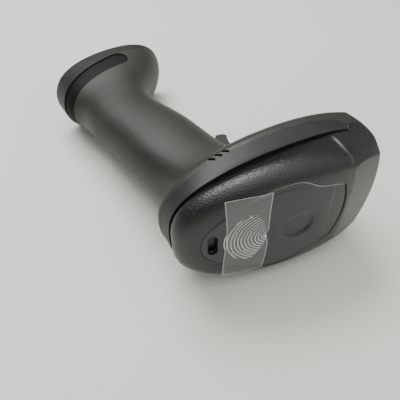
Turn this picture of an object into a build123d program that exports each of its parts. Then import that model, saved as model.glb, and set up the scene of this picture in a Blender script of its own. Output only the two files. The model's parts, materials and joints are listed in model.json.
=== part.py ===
"""Handheld barcode scanner, cordless pistol grip, lying on its right side."""

from build123d import *
import math
import os

os.makedirs("parts", exist_ok=True)

# Grip frame, used for all modelling: X forward along the scan direction, Y to the scanner's left,
# Z up out of the top panel. The origin is under the thumb dimple, at the parting line of the head.
# Lengths are in millimetres, angles in degrees.

# ---- driving sizes: head ----
parting_rear = 57.3       # parting line: origin back to the rear pole
parting_half = 32.4       # parting line: half width
bulge_rear = 58.3         # fullest level of the top shell: origin back to the rear pole
bulge_half = 34.3
bulge_level = 8.0
crest_rear = 57.0         # top level of the shell's side wall
crest_half = 33.2
crest_level = 21.0
lip_rear = 58.5           # lip under the bumper, the widest part of the scanner
lip_half = 35.7
bumper_height = 9.5       # parting line down to the lip
lip_height = 1.8
belly_drop = 21.0         # parting line down to the flat underside of the head
belly_inset = 13.0        # how far the underside's flat stays inside the lip
nose_reach = 52.0         # origin forward to the foremost point of the nose
nose_round = 87.0         # radius of the nose in plan
crown_high = 19.3         # highest point of the top face above the parting line
crown_at = 18.0           # how far forward that point is
crown_long_radius = 235.0
crown_cross_radius = 300.0
shoulder_radius = 6.0
brow_at = 26.5            # where the top face turns down towards the lip of the nose
brow_angle = 12.6
facet_point = (24.7, 30.2, 17.0)
facet_normal = (0.220, 0.968, 0.121)
head_wall = 2.4
top_wall = 3.2            # the top shell is thicker, because the panel is let into it

# ---- driving sizes: bumper round the head ----
bumper_gap = 1.4          # dark gap between the top shell and the bumper
bumper_depth = 1.8        # how far the bumper reaches in from the parting line
bumper_front = 35.2
hood_drop = 4.9           # the parting line under the hood lies this much lower

# ---- driving sizes: front window ----
window_level = 0.5        # middle of the window above the parting line
window_width = 44.0
window_height = 14.6
window_thickness = 1.5
window_recess = 2.2       # how far the window sits behind the nose
bezel_width = 2.6
bezel_recess = 0.8
bezel_depth = 3.7
bezel_corner = 5.0
bezel_clearance = 0.15
window_corner = 3.0
window_ledge = 1.0        # the window rests against this much of the bezel
window_fit = 0.1

# ---- driving sizes: top panel, indicator lens, sound outlet, film ----
panel_thickness = 1.6
panel_clearance = 0.15
panel_rear = -47.0
panel_front = 24.8
panel_half = 28.6
dimple_radius = 8.5       # thumb dimple
dimple_depth = 0.7
lens_tip = -16.6          # the pointed front of the lens, and the centre of its ridges
lens_rear = -37.0
lens_half = 15.2
lens_proud = 0.2
lens_ledge = 2.0          # the lens rests on this much of the shell all round
ridge_pitch = 2.3
ridge_height = 0.5
sound_at = -41.8
sound_length = 13.0
sound_width = 4.4
mesh_overlap = 1.5
mesh_thickness = 0.4
film_gap = 0.05
film_thickness = 0.25
film_front = -16.0
film_rear = -36.5
film_half = 27.5

# ---- driving sizes: handle and foot ----
# each station of the handle: centre x, centre z, tilt, half length, half width
stations = [
    (-22.0, -8.0, 0.0, 28.0, 24.0),
    (-24.8, -22.0, 0.0, 23.8, 19.5),
    (-28.2, -36.0, 3.0, 22.2, 17.5),
    (-34.7, -58.2, 8.0, 22.6, 17.0),
    (-42.3, -83.0, 13.0, 21.3, 17.0),
    (-46.7, -103.9, 16.5, 22.2, 17.5),
    (-43.0, -122.0, 19.0, 30.7, 19.5),
    (-41.6, -130.2, 19.5, 36.2, 20.8),
    (-41.0, -137.4, 19.5, 38.6, 21.8),
]
cap_station = stations[-1]
sole_station = (-41.2, -147.9, 10.8, 39.1, 22.1)
sole_round = 2.5
handle_wall = 2.4
grip_squareness = 2.4
foot_band_height = 10.4   # rubber band let into the foot
foot_band_front = 9.0     # its rounded ends, ahead of the middle of the foot
foot_band_sunk = 0.9
foot_band_depth = 2.8     # the channel it lies in
toe_pocket_rear = 10.0
toe_pocket_inset = 6.0
toe_pocket_height = 7.0
vent_at = (-28.0, -10.9)  # three slots in the lip, x and z
vent_pitch = 3.4
vent_length = 3.6
vent_width = 1.2
vent_slant = 35.0
vent_depth = 2.0

# ---- driving sizes: battery, chamber, cap, latch ----
chamber_tilt = 14.7
chamber_depth = 35.0      # front to rear
chamber_width = 26.4
chamber_corner = 9.0
battery_clearance = 1.0
battery_length = 66.0
contact_height = 3.0
cap_seam = 0.15
plug_clearance = 0.3
seal_height = 1.6
seal_clearance = 0.08
latch_radius = 8.0
latch_thickness = 2.4
latch_shaft = 3.0
latch_clearance = 0.05
latch_gap = 0.3
latch_sunk = 0.2
wing_reach = 8.5
wing_gap = 0.1
wing_thickness = 2.0
coin_slot = (12.0, 1.8, 1.4)
cap_wall = 2.4
plug_inner = 2.3
seal_inner = 1.4
seal_at = 3.0
contact_pad = (6.0, 3.0)
contact_pitch = 5.5
contact_count = 4
contact_row = 20.0
contact_sunk = 0.3
contact_thickness = 0.6
blade = (3.0, 1.2)
blade_pitch = 5.0
blade_row = 9.0
lead_radius = 0.8
lead_apart = 2.0
lead_rear = -35.0
lead_front = -29.0
lead_rise = 1.8

# ---- driving sizes: trigger ----
pivot = (-12.0, -25.4)    # trigger pin, x and z
trigger_half = 7.8
trigger_gap = 0.5         # either side of the trigger in its opening
trigger_low = -50.4
trigger_front = [(1.5, -22.3), (-2.6, -30.0), (-4.9, -38.0), (-4.7, -44.0), (-3.4, -48.0)]
trigger_round = 1.8
opening_low = -51.6
opening_high = -21.4
trigger_wall = 2.2
pin_radius = 1.5
pin_fit = 0.02            # pin in the housing's bores
pin_running = 0.05        # trigger on its pin
pin_half = 11.5
boss_radius = 3.2
switch_below = 8.0        # the trigger's finger meets the switch this far below the pin
switch_gap = 0.1
finger_tip = -17.4
finger_radius = 1.0
finger_half = 1.4
switch_depth = 3.5
switch_half = 3.0
plunger_radius = 1.6
plunger_length = 3.4
plunger_well = 3.2
trigger_board_face = -22.4
trigger_board_half = 9.5
trigger_board_low = -56.5
trigger_board_high = -27.0
rail_lip = 1.6
rail_inside = 7.6
rail_low = -57.6
rail_high = -29.0
slot_clearance = 0.05
spring_turns = 3
spring_pitch = 0.9
spring_side = 3.6
spring_gap = 0.03
spring_room = 1.85
wire_radius = 0.35

# ---- driving sizes: electronics ----
board_thickness = 1.6
board_level = -4.0        # underside of the main board
board_front = 16.0
board_rear = -32.0
board_half = 23.0
post_radius = 2.4
post_inset = 3.2
post_sites = [
    (board_front - post_inset, board_half - post_inset), (board_front - post_inset, post_inset - board_half),
    (board_rear + post_inset, board_half - post_inset), (board_rear + post_inset, post_inset - board_half),
]
tongue_length = 17.0      # the board's tail, under the sound outlet
tongue_half = 9.0
beeper_size = (6.0, 6.0)  # radius and height
indicator_level = 5.0
indicator_at = -27.0
indicator_size = (12.0, 18.0)
flex_thickness = 0.3
flex_half = 3.0
engine_level = -8.0
engine_sites = [(17.5, 16.5), (17.5, -16.5), (40.0, 16.5), (40.0, -16.5)]
chassis_rear = 15.4
chassis_front = 43.0
chassis_half = 19.5
engine_rear = 17.0
engine_front = 38.0
engine_half = 13.0
engine_height = 13.0
lens_radius = 4.0
led_apart = 9.5
board_screw_radius = 0.9
board_screw_head = (1.7, 1.1)
board_screw_length = 6.0
screw_radius = 1.2
screw_head_radius = 2.6
screw_head_gap = 0.3
screw_head = 1.8
screw_boss_radius = 4.0
screw_fit = 0.05
screw_sites = [(-42.0, -27.0), (28.0, -14.0), (-21.0, -131.0)]
screw_seat = -6.0         # the heads rest this far to the right of the middle
screw_depth = 8.0

far = 90.0                # reach of the cutting blocks, beyond every piece


def plan(level, half, rear, widest, squareness, side_radius, front=62.0):
    """Closed plan of the head at one level: one smooth line round the rear, shut by a straight front."""
    bluntness = 2.1
    rear_steps = 8
    side_steps = 4
    left = []
    for i in range(1, rear_steps + 1):
        angle = math.radians(90.0 * i / rear_steps)
        x = widest - (widest + rear) * math.cos(angle) ** (2 / bluntness)
        left.append((x, half * math.sin(angle) ** (2 / squareness)))
    for i in range(1, side_steps + 1):
        ahead = (front - widest) * i / side_steps
        left.append((widest + ahead, half - side_radius + math.sqrt(side_radius**2 - ahead**2)))
    right = [(x, -y) for x, y in reversed(left)]
    with BuildSketch(Plane.XY.offset(level)) as outline:
        with BuildLine():
            Spline(*right, (-rear, 0), *left)
            Line(left[-1], right[0])
        make_face()
    return outline.sketch


def parting_plan(inset=0.0, level=0.0):
    return plan(level, parting_half - inset, parting_rear - inset, 8.0, 3.3, 340.0)


def lip_plan(inset=0.0, level=-bumper_height):
    return plan(level, lip_half - inset, lip_rear - inset, 8.0, 2.35, 112.0)


def crown_solid(lower=0.0, reach=60.0):
    """Everything under the double-curved top face, lowered by the given amount."""
    top = crown_long_radius - lower
    sag = crown_cross_radius - math.sqrt(crown_cross_radius**2 - reach**2)
    hub = (crown_at, 0, crown_high - crown_long_radius)
    swing = 35.0
    start = math.radians(90.0 + swing)
    side = Plane(origin=hub, x_dir=(0, 1, 0), z_dir=(math.sin(start), 0, -math.cos(start)))
    with BuildPart() as crown:
        with BuildSketch(side):
            with BuildLine():
                ThreePointArc((-reach, top - sag), (0, top), (reach, top - sag))
                Polyline((reach, top - sag), (reach, top - 80), (-reach, top - 80), (-reach, top - sag))
            make_face()
        revolve(axis=Axis(hub, (0, 1, 0)), revolution_arc=2 * swing)
    return crown.part


def nose_solid(inset=0.0):
    """A turned block whose side is the front of the head."""
    centre = nose_reach - nose_round
    falls_back = [(10.5, 24.0), (5.4, 14.5), (2.0, 8.0), (0.0, 0.0), (0.5, -7.0), (3.0, -14.0), (9.0, -24.0)]
    side = [(nose_round - inset - back, z) for back, z in falls_back]
    behind = Plane(origin=(centre, 0, 0), x_dir=(-1, 0, 0), z_dir=(0, 1, 0))
    with BuildPart() as nose:
        with BuildSketch(behind):
            with BuildLine():
                Spline(*side)
                Polyline(side[-1], (0, side[-1][1]), (0, side[0][1]), side[0])
            make_face()
        revolve(axis=Axis((centre, 0, 0), (0, 0, 1)))
    return nose.part


def brow_cutter(lower=0.0, reach=60.0):
    """Everything above the sloping brow, which keeps the cross curve of the crown."""
    slope = math.radians(brow_angle)
    at_brow = crown_high - (brow_at - crown_at) ** 2 / (2 * crown_long_radius) - lower
    plane = Plane(
        origin=(brow_at, 0, at_brow), x_dir=(0, 1, 0), z_dir=(math.cos(slope), 0, -math.sin(slope))
    )
    sag = crown_cross_radius - math.sqrt(crown_cross_radius**2 - reach**2)
    with BuildPart() as cutter:
        with BuildSketch(plane):
            with BuildLine():
                ThreePointArc((-reach, -sag), (0, 0), (reach, -sag))
                Polyline((reach, -sag), (reach, 30), (-reach, 30), (-reach, -sag))
            make_face()
        extrude(amount=60)
    return cutter.part


def facet_plane(side, inset=0.0):
    plane = Plane(
        origin=(facet_point[0], side * facet_point[1], facet_point[2]),
        z_dir=(facet_normal[0], side * facet_normal[1], facet_normal[2]),
    )
    return plane.offset(-inset)


def head_solid(inset=0.0):
    """The whole head, moved inward by the inset on every side."""
    with BuildPart() as head:
        loft(
            sections=[
                parting_plan(inset),
                plan(bulge_level, bulge_half - inset, bulge_rear - inset, -5.0, 3.0, 156.0),
                plan(crest_level, crest_half - inset, crest_rear - inset, -5.0, 3.0, 131.0),
            ]
        )
        add(crown_solid(inset), mode=Mode.INTERSECT)
        top = head.faces().sort_by(Axis.Z)[-1]
        rim = top.edges().sort_by(Axis.X)[:-1]
        fillet(rim, shoulder_radius - inset)
        loft(sections=[parting_plan(inset), lip_plan(inset)])
        under = -bumper_height - lip_height
        belly = -belly_drop + inset
        loft(
            sections=[
                lip_plan(inset),
                lip_plan(inset - 0.3, under),
                lip_plan(inset + 3.5, (under + belly) / 2 - 1.0),
                lip_plan(inset + belly_inset, belly),
            ]
        )
        for side in (1, -1):
            split(bisect_by=facet_plane(side, inset), keep=Keep.BOTTOM)
        add(nose_solid(inset), mode=Mode.INTERSECT)
        add(brow_cutter(inset), mode=Mode.SUBTRACT)
    return head.part


def station_plane(station, lift=0.0):
    x, z, tilt = station[:3]
    turn = math.radians(tilt)
    plane = Plane(
        origin=(x, 0, z),
        x_dir=(math.cos(turn), 0, -math.sin(turn)),
        z_dir=(math.sin(turn), 0, math.cos(turn)),
    )
    return plane.offset(lift)


def station_face(station, inset=0.0, lift=0.0):
    """Superelliptic section of the handle in its own tilted plane."""
    length = station[3] - inset
    width = station[4] - inset
    points = []
    count = 16
    for i in range(count):
        angle = 2 * math.pi * (i + 0.5) / count
        c, s = math.cos(angle), math.sin(angle)
        x = length * math.copysign(abs(c) ** (2 / grip_squareness), c)
        y = width * math.copysign(abs(s) ** (2 / grip_squareness), s)
        points.append((x, y))
    with BuildSketch(station_plane(station, lift)) as section:
        with BuildLine():
            Spline(*points, periodic=True)
        make_face()
    return section.sketch


def grip_solid(inset=0.0, first=0, last=None):
    picked = stations[first:last]
    with BuildPart() as grip:
        loft(sections=[station_face(s, inset) for s in picked])
    return grip.part


def side_plane(station=(0.0, 0.0, 0.0)):
    """Side view through the middle of the scanner, along the given station's tilt."""
    x, z, tilt = station[:3]
    turn = math.radians(tilt)
    return Plane(origin=(x, 0, z), x_dir=(math.cos(turn), 0, -math.sin(turn)), z_dir=(0, -1, 0))


def side_block(points, half=far):
    """A prism across the scanner, drawn as a closed outline in the side view."""
    with BuildPart() as block:
        with BuildSketch(side_plane()):
            with BuildLine():
                Polyline(*points, close=True)
            make_face()
        extrude(amount=half, both=True)
    return block.part


def cross_cylinder(x, z, radius, start, end):
    """A cylinder that lies across the scanner, from one Y to another."""
    with BuildPart() as rod:
        with BuildSketch(Plane.XZ.offset(-end)):
            with Locations((x, z)):
                Circle(radius)
        extrude(amount=end - start)
    return rod.part


def block(start, end):
    """An upright block between two opposite corners."""
    size = [abs(b - a) for a, b in zip(start, end)]
    middle = [(a + b) / 2 for a, b in zip(start, end)]
    with BuildPart() as made:
        with Locations(tuple(middle)):
            Box(*size)
    return made.part


# ---- whole forms, before they are parted into mouldings ----
head_outer = head_solid()
head_inner = head_solid(head_wall)
grip_outer = grip_solid()
neck_inner = grip_solid(handle_wall, 0, 4)

with BuildPart() as core:
    with BuildSketch(Plane.XY.offset(-bumper_height - lip_height)):
        add(parting_plan(bumper_depth))
    extrude(amount=bumper_height + lip_height)
with BuildPart() as tub_core:
    with BuildSketch(Plane.XY.offset(-bumper_height - head_wall)):
        add(parting_plan(bumper_depth + head_wall))
    extrude(amount=bumper_height + head_wall)

# ---- zones of the head, as seen from the side ----
bumper_end = bumper_front + 0.65 * (hood_drop - bumper_gap)
bumper_start = bumper_front - 5.0
upper_zone = side_block([
    (-far, 0), (bumper_front, 0), (bumper_end + 0.4, -hood_drop), (far, -hood_drop), (far, far), (-far, far),
])
with BuildPart() as bumper_zone:
    with BuildSketch(side_plane()):
        with BuildLine():
            Polyline(
                (bumper_start, -bumper_height), (-far, -bumper_height), (-far, 0),
                (bumper_front, 0), (bumper_end, -hood_drop),
            )
            TangentArc((bumper_start, -bumper_height), (bumper_end, -hood_drop), tangent=(1, 0))
        make_face()
    extrude(amount=far, both=True)
with BuildPart() as bumper_channel:
    add(bumper_zone.part)
    add(core.part, mode=Mode.SUBTRACT)

with BuildPart() as nose_opening:
    with BuildSketch(Plane.YZ.offset(nose_reach - 14.0)):
        with Locations((0, window_level)):
            RectangleRounded(window_width + 2 * bezel_width, window_height + 2 * bezel_width, bezel_corner)
    extrude(amount=30.0)

# ---- battery chamber, a straight bore with rounded corners that follows the handle ----
chamber_turn = math.radians(chamber_tilt)
chamber_axis = Vector(math.sin(chamber_turn), 0, math.cos(chamber_turn))
chamber_top = Vector(stations[3][0], 0, stations[3][1])
cap_origin = Vector(cap_station[0], 0, cap_station[1])
cap_normal = station_plane(cap_station).z_dir
chamber_length = (chamber_top - cap_origin).dot(cap_normal) / chamber_axis.dot(cap_normal)
chamber_mouth = chamber_top - chamber_axis * chamber_length


def chamber_plane(distance):
    """Section of the chamber, the given distance up from its mouth."""
    return Plane(
        origin=chamber_mouth + chamber_axis * distance,
        x_dir=(math.cos(chamber_turn), 0, -math.sin(chamber_turn)),
        z_dir=chamber_axis,
    )


def chamber_prism(clearance, start, end):
    with BuildPart() as prism:
        with BuildSketch(chamber_plane(start)):
            RectangleRounded(
                chamber_depth - 2 * clearance, chamber_width - 2 * clearance, chamber_corner - clearance
            )
        extrude(amount=end - start)
    return prism.part


# ---- top shell ----
panel_crown = crown_solid(panel_thickness)


def panel_outline(grow=0.0):
    """Plan of the top panel: an arc across the front, a waist, and a rounded tail."""
    middle = (panel_front + panel_rear) / 2
    stretch = 1 + 2 * grow / (panel_front - panel_rear)
    widen = 1 + grow / panel_half

    def at(x, y):
        return (middle + (x - middle) * stretch, y * widen)

    side = [
        (21.8, 18.2), (15.5, 20.4), (7.5, 22.6), (-1.0, 27.6), (-8.0, panel_half), (-18.0, 27.0),
        (-30.0, 21.5), (-41.0, 12.5), (panel_rear, 0),
    ]
    with BuildSketch() as outline:
        with BuildLine():
            ThreePointArc(at(21.8, -18.2), at(panel_front, 0), at(21.8, 18.2))
            Spline(*[at(x, y) for x, y in side], tangents=[(-1, 0.25), (0, -1)])
            Spline(*[at(x, -y) for x, y in side], tangents=[(-1, -0.25), (0, 1)])
        make_face()
    return outline.sketch


def lens_outline(grow=0.0):
    """Plan of the indicator lens, blunt at the front and drawn in at the rear."""
    middle = (lens_tip + lens_rear) / 2
    stretch = 1 + 2 * grow / (lens_tip - lens_rear)
    widen = 1 + grow / lens_half
    side = [(lens_tip, 0), (-18.6, 8.0), (-24.0, lens_half), (-30.0, 13.2), (-34.6, 8.5), (lens_rear, 0)]
    ring = side + [(x, -y) for x, y in side[-2:0:-1]]
    with BuildSketch() as outline:
        with BuildLine():
            Spline(*[(middle + (x - middle) * stretch, y * widen) for x, y in ring], periodic=True)
        make_face()
    return outline.sketch


with BuildSketch() as sound_outline:
    with Locations((sound_at, 0)):
        SlotOverall(sound_length, sound_width, rotation=90)

with BuildPart() as panel_recess:
    with BuildSketch():
        add(panel_outline(panel_clearance))
    extrude(amount=far)
    add(panel_crown, mode=Mode.SUBTRACT)

with BuildPart() as top_shell:
    add(head_outer)
    add(upper_zone, mode=Mode.INTERSECT)
    add(head_solid(top_wall), mode=Mode.SUBTRACT)
    add(panel_recess.part, mode=Mode.SUBTRACT)
    add(nose_opening.part, mode=Mode.SUBTRACT)
    with BuildSketch():
        add(lens_outline(-lens_ledge))
        add(sound_outline.sketch)
    extrude(amount=far, mode=Mode.SUBTRACT)

with BuildPart() as top_panel:
    with BuildSketch():
        add(panel_outline())
        add(lens_outline(panel_clearance), mode=Mode.SUBTRACT)
        add(sound_outline.sketch, mode=Mode.SUBTRACT)
    extrude(amount=far)
    add(crown_solid(), mode=Mode.INTERSECT)
    add(panel_crown, mode=Mode.SUBTRACT)
    dimple_sphere = (dimple_radius**2 + dimple_depth**2) / (2 * dimple_depth)
    dimple_top = crown_high - crown_at**2 / (2 * crown_long_radius)
    with Locations((0, 0, dimple_top - dimple_depth + dimple_sphere)):
        Sphere(dimple_sphere, mode=Mode.SUBTRACT)

with BuildPart() as ridge_grooves:
    with BuildSketch():
        for ring in range(1, 9):
            with Locations((lens_tip, 0)):
                Circle(ridge_pitch * (ring + 0.4))
                Circle(ridge_pitch * ring, mode=Mode.SUBTRACT)
    extrude(amount=far)
    add(crown_solid(ridge_height - lens_proud), mode=Mode.SUBTRACT)
with BuildPart() as indicator_lens:
    with BuildSketch():
        add(lens_outline())
    extrude(amount=far)
    add(crown_solid(-lens_proud), mode=Mode.INTERSECT)
    add(panel_crown, mode=Mode.SUBTRACT)
    add(ridge_grooves.part, mode=Mode.SUBTRACT)

# ---- protective film, laid over the indicator lens ----
with BuildPart() as protective_film:
    with BuildSketch():
        with BuildLine():
            Polyline(
                (film_rear, film_half), (film_front, film_half), (film_front - 0.4, 3.5),
                (film_front - 3.2, 0.6), (film_front - 1.0, -3.5), (film_front, -film_half),
                (film_rear, -film_half), close=True,
            )
        make_face()
    extrude(amount=far)
    add(crown_solid(-lens_proud - film_gap - film_thickness), mode=Mode.INTERSECT)
    add(crown_solid(-lens_proud - film_gap), mode=Mode.SUBTRACT)

# ---- mesh glued under the sound outlet ----
with BuildPart() as sound_mesh:
    with BuildSketch():
        add(sound_outline.sketch)
        offset(amount=mesh_overlap)
    extrude(amount=far)
    add(crown_solid(top_wall), mode=Mode.INTERSECT)
    add(crown_solid(top_wall + mesh_thickness), mode=Mode.SUBTRACT)

# ---- bumper round the head ----
with BuildPart() as head_bumper:
    add(head_outer)
    add(bumper_channel.part, mode=Mode.INTERSECT)
    with BuildSketch(Plane.XY.offset(-bumper_gap)):
        Rectangle(2 * far, 2 * far)
    extrude(amount=far, mode=Mode.SUBTRACT)

# ---- front window ----


def window_prism(width, height, corner, shift=0.0):
    """A block along the scan direction, as wide and high as one step of the window opening."""
    with BuildPart() as prism:
        with BuildSketch(Plane.YZ.offset(nose_reach - 16.0)):
            with Locations((0, window_level + shift)):
                RectangleRounded(width, height, corner)
        extrude(amount=30.0)
    return prism.part


window_slot = window_prism(window_width, window_height, window_corner)
window_back = window_recess + window_thickness
with BuildPart() as window_bezel:
    add(
        window_prism(
            window_width + 2 * bezel_width - 2 * bezel_clearance,
            window_height + 2 * bezel_width - bezel_clearance,
            bezel_corner,
            -bezel_clearance / 2,
        )
    )
    add(nose_solid(bezel_recess), mode=Mode.INTERSECT)
    add(nose_solid(bezel_recess + bezel_depth), mode=Mode.SUBTRACT)
    add(
        window_prism(
            window_width - 2 * window_ledge, window_height - 2 * window_ledge, window_corner - window_ledge
        ),
        mode=Mode.SUBTRACT,
    )
with BuildPart() as window_seat:
    add(window_slot)
    add(nose_solid(window_back), mode=Mode.SUBTRACT)
with BuildPart() as framed_bezel:
    add(window_bezel.part)
    add(window_seat.part, mode=Mode.SUBTRACT)
with BuildPart() as scan_window:
    add(window_prism(
        window_width - 2 * window_fit, window_height - 2 * window_fit, window_corner - window_fit
    ))
    add(nose_solid(window_recess), mode=Mode.INTERSECT)
    add(nose_solid(window_back), mode=Mode.SUBTRACT)

# ---- lower housing, moulded as two halves ----
with BuildPart() as head_cavity:
    add(head_inner)
    with BuildSketch(Plane.XY.offset(-bumper_height - head_wall)):
        Rectangle(2 * far, 2 * far)
    extrude(amount=far, mode=Mode.SUBTRACT)
with BuildPart() as tub_cavity:
    add(head_inner)
    add(tub_core.part, mode=Mode.INTERSECT)

with BuildPart() as foot_channel:
    with BuildSketch(side_plane(cap_station)):
        with Locations((foot_band_front - far / 2, foot_band_height / 2)):
            SlotOverall(far, foot_band_height)
    extrude(amount=far, both=True)
    add(grip_solid(foot_band_depth), mode=Mode.SUBTRACT)

with BuildPart() as toe_pocket:
    add(station_face(cap_station, toe_pocket_inset, -1.0))
    extrude(amount=toe_pocket_height + 1.0)
    with BuildSketch(station_plane(cap_station, -2.0)):
        with Locations((toe_pocket_rear - far / 2, 0)):
            Rectangle(far, far)
    extrude(amount=toe_pocket_height + 3.0, mode=Mode.SUBTRACT)

with BuildPart() as trigger_opening:
    with BuildSketch(Plane.YZ.offset(pivot[0] - 4.0)):
        with Locations((0, (opening_low + opening_high) / 2)):
            RectangleRounded(2 * (trigger_half + trigger_gap), opening_high - opening_low, 2.0)
    extrude(amount=far)

with BuildPart() as vent_slots:
    with BuildSketch(Plane(origin=(vent_at[0], 0, vent_at[1]), x_dir=(1, 0, 0), z_dir=(0, -1, 0))):
        with Locations((-vent_pitch, 0), (0, 0), (vent_pitch, 0)):
            SlotOverall(vent_length, vent_width, rotation=vent_slant)
    extrude(amount=far)
    with BuildSketch(Plane.XY.offset(vent_at[1] - 10.0)):
        add(lip_plan(vent_depth))
    extrude(amount=20.0, mode=Mode.SUBTRACT)

# posts under the boards, bosses for the trigger pin and the screws, rails for the trigger board
rail_front = trigger_board_face + rail_lip
board_back = trigger_board_face - board_thickness
rail_rear = board_back - rail_lip


def right_moulding():
    """The right half of the lower housing, before its screw holes. The left half is its mirror image."""
    own_side = block((-2 * far, -far, -2 * far), (2 * far, 0, far))
    with BuildPart() as envelope:
        add(head_outer)
        add(grip_outer)
        add(own_side, mode=Mode.INTERSECT)
        add(upper_zone, mode=Mode.SUBTRACT)
        add(bumper_channel.part, mode=Mode.SUBTRACT)
        add(foot_channel.part, mode=Mode.SUBTRACT)
    with BuildPart() as ribs:
        with BuildSketch(Plane.XY.offset(-belly_drop - 1.0)):
            with Locations(*post_sites):
                Circle(post_radius)
        extrude(amount=belly_drop + 1.0 + board_level)
        with BuildSketch(Plane.XY.offset(-belly_drop - 1.0)):
            with Locations(*engine_sites):
                Circle(post_radius)
        extrude(amount=belly_drop + 1.0 + engine_level)
        for x, z in screw_sites:
            add(cross_cylinder(x, z, screw_boss_radius, -far, far))
        add(cross_cylinder(pivot[0], pivot[1], boss_radius, -far, -trigger_half - trigger_gap))
        add(block((rail_rear, -far, rail_low), (rail_front, -rail_inside, rail_high)))
        add(envelope.part, mode=Mode.INTERSECT)
    with BuildPart() as half:
        add(envelope.part)
        add(head_cavity.part, mode=Mode.SUBTRACT)
        add(tub_cavity.part, mode=Mode.SUBTRACT)
        add(neck_inner, mode=Mode.SUBTRACT)
        add(chamber_prism(0.0, -20.0, chamber_length + 3.0), mode=Mode.SUBTRACT)
        add(toe_pocket.part, mode=Mode.SUBTRACT)
        add(trigger_opening.part, mode=Mode.SUBTRACT)
        add(ribs.part)
        add(nose_opening.part, mode=Mode.SUBTRACT)
        add(vent_slots.part, mode=Mode.SUBTRACT)
        add(cross_cylinder(pivot[0], pivot[1], pin_radius + pin_fit, -pin_half, pin_half), mode=Mode.SUBTRACT)
        add(
            block(
                (board_back - slot_clearance, -trigger_board_half - slot_clearance, trigger_board_low),
                (trigger_board_face + slot_clearance, trigger_board_half + slot_clearance, -belly_drop),
            ),
            mode=Mode.SUBTRACT,
        )
        with BuildSketch(Plane.XY.offset(board_level)):
            with Locations(*post_sites):
                Circle(board_screw_radius + screw_fit)
        extrude(amount=-board_screw_length, mode=Mode.SUBTRACT)
        with BuildSketch(Plane.XY.offset(engine_level)):
            with Locations(*engine_sites):
                Circle(board_screw_radius + screw_fit)
        extrude(amount=-board_screw_length, mode=Mode.SUBTRACT)
    return half.part


moulding = right_moulding()
with BuildPart() as handle_right:
    add(moulding)
    for x, z in screw_sites:
        add(cross_cylinder(x, z, screw_radius + screw_fit, screw_seat - 1.0, screw_depth), mode=Mode.SUBTRACT)
        add(cross_cylinder(x, z, screw_head_radius + screw_head_gap, -far, screw_seat), mode=Mode.SUBTRACT)
with BuildPart() as handle_left:
    add(mirror(moulding, about=Plane.XZ))
    for x, z in screw_sites:
        add(cross_cylinder(x, z, screw_radius + screw_fit, screw_seat - 1.0, screw_depth), mode=Mode.SUBTRACT)

with BuildPart() as foot_bumper:
    add(grip_solid(foot_band_sunk))
    add(foot_channel.part, mode=Mode.INTERSECT)

# ---- foot cap with its plug, seal, latch and charging contacts ----
sole_plane = station_plane(sole_station)
sole_drop = Vector(sole_station[0], 0, sole_station[1]) - chamber_mouth
sole_depth = -sole_drop.dot(sole_plane.z_dir) / chamber_axis.dot(sole_plane.z_dir)
latch_centre = chamber_mouth - chamber_axis * sole_depth
latch_plane = Plane(origin=latch_centre, x_dir=sole_plane.x_dir, z_dir=sole_plane.z_dir)
latch_recess = latch_thickness + latch_sunk
cap_floor = latch_recess + cap_wall
plug_top = chamber_length - contact_height - battery_length
with BuildPart() as battery_cap:
    loft(sections=[station_face(cap_station, 0.0, -cap_seam), station_face(sole_station)])
    fillet(battery_cap.faces().sort_by(Axis.Z)[0].edges(), sole_round)
    loft(
        sections=[
            station_face(cap_station, cap_wall, 0.1),
            station_face(sole_station, cap_wall + 0.6, cap_wall),
        ],
        mode=Mode.SUBTRACT,
    )
    with BuildSketch(latch_plane):
        Circle(latch_radius + cap_wall)
    extrude(amount=cap_floor)
    with BuildSketch(chamber_plane(-sole_depth + cap_wall)):
        RectangleRounded(
            chamber_depth - 2 * plug_clearance,
            chamber_width - 2 * plug_clearance,
            chamber_corner - plug_clearance,
        )
        RectangleRounded(
            chamber_depth - 2 * plug_inner, chamber_width - 2 * plug_inner, chamber_corner - plug_inner,
            mode=Mode.SUBTRACT,
        )
    extrude(amount=plug_top + sole_depth - cap_wall)
    with BuildSketch(chamber_plane(seal_at)):
        RectangleRounded(chamber_depth, chamber_width, chamber_corner)
        RectangleRounded(
            chamber_depth - 2 * seal_inner, chamber_width - 2 * seal_inner, chamber_corner - seal_inner,
            mode=Mode.SUBTRACT,
        )
    extrude(amount=seal_height, mode=Mode.SUBTRACT)
    with BuildSketch(latch_plane):
        Circle(latch_radius + latch_gap)
    extrude(amount=latch_recess, mode=Mode.SUBTRACT)
    with BuildSketch(latch_plane):
        Circle(latch_shaft + latch_clearance)
    extrude(amount=cap_floor, mode=Mode.SUBTRACT)
    with BuildSketch(sole_plane):
        with Locations((contact_row, 0)):
            with GridLocations(0, contact_pitch, 1, contact_count):
                Rectangle(*contact_pad)
    extrude(amount=contact_sunk + contact_thickness, mode=Mode.SUBTRACT)

with BuildPart() as charge_contacts:
    with BuildSketch(sole_plane.offset(contact_sunk)):
        with Locations((contact_row, 0)):
            with GridLocations(0, contact_pitch, 1, contact_count):
                Rectangle(*contact_pad)
    extrude(amount=contact_thickness)

with BuildPart() as cap_seal:
    with BuildSketch(chamber_plane(seal_at)):
        RectangleRounded(
            chamber_depth - 2 * seal_clearance,
            chamber_width - 2 * seal_clearance,
            chamber_corner - seal_clearance,
        )
        RectangleRounded(
            chamber_depth - 2 * seal_inner, chamber_width - 2 * seal_inner, chamber_corner - seal_inner,
            mode=Mode.SUBTRACT,
        )
    extrude(amount=seal_height)

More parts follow.
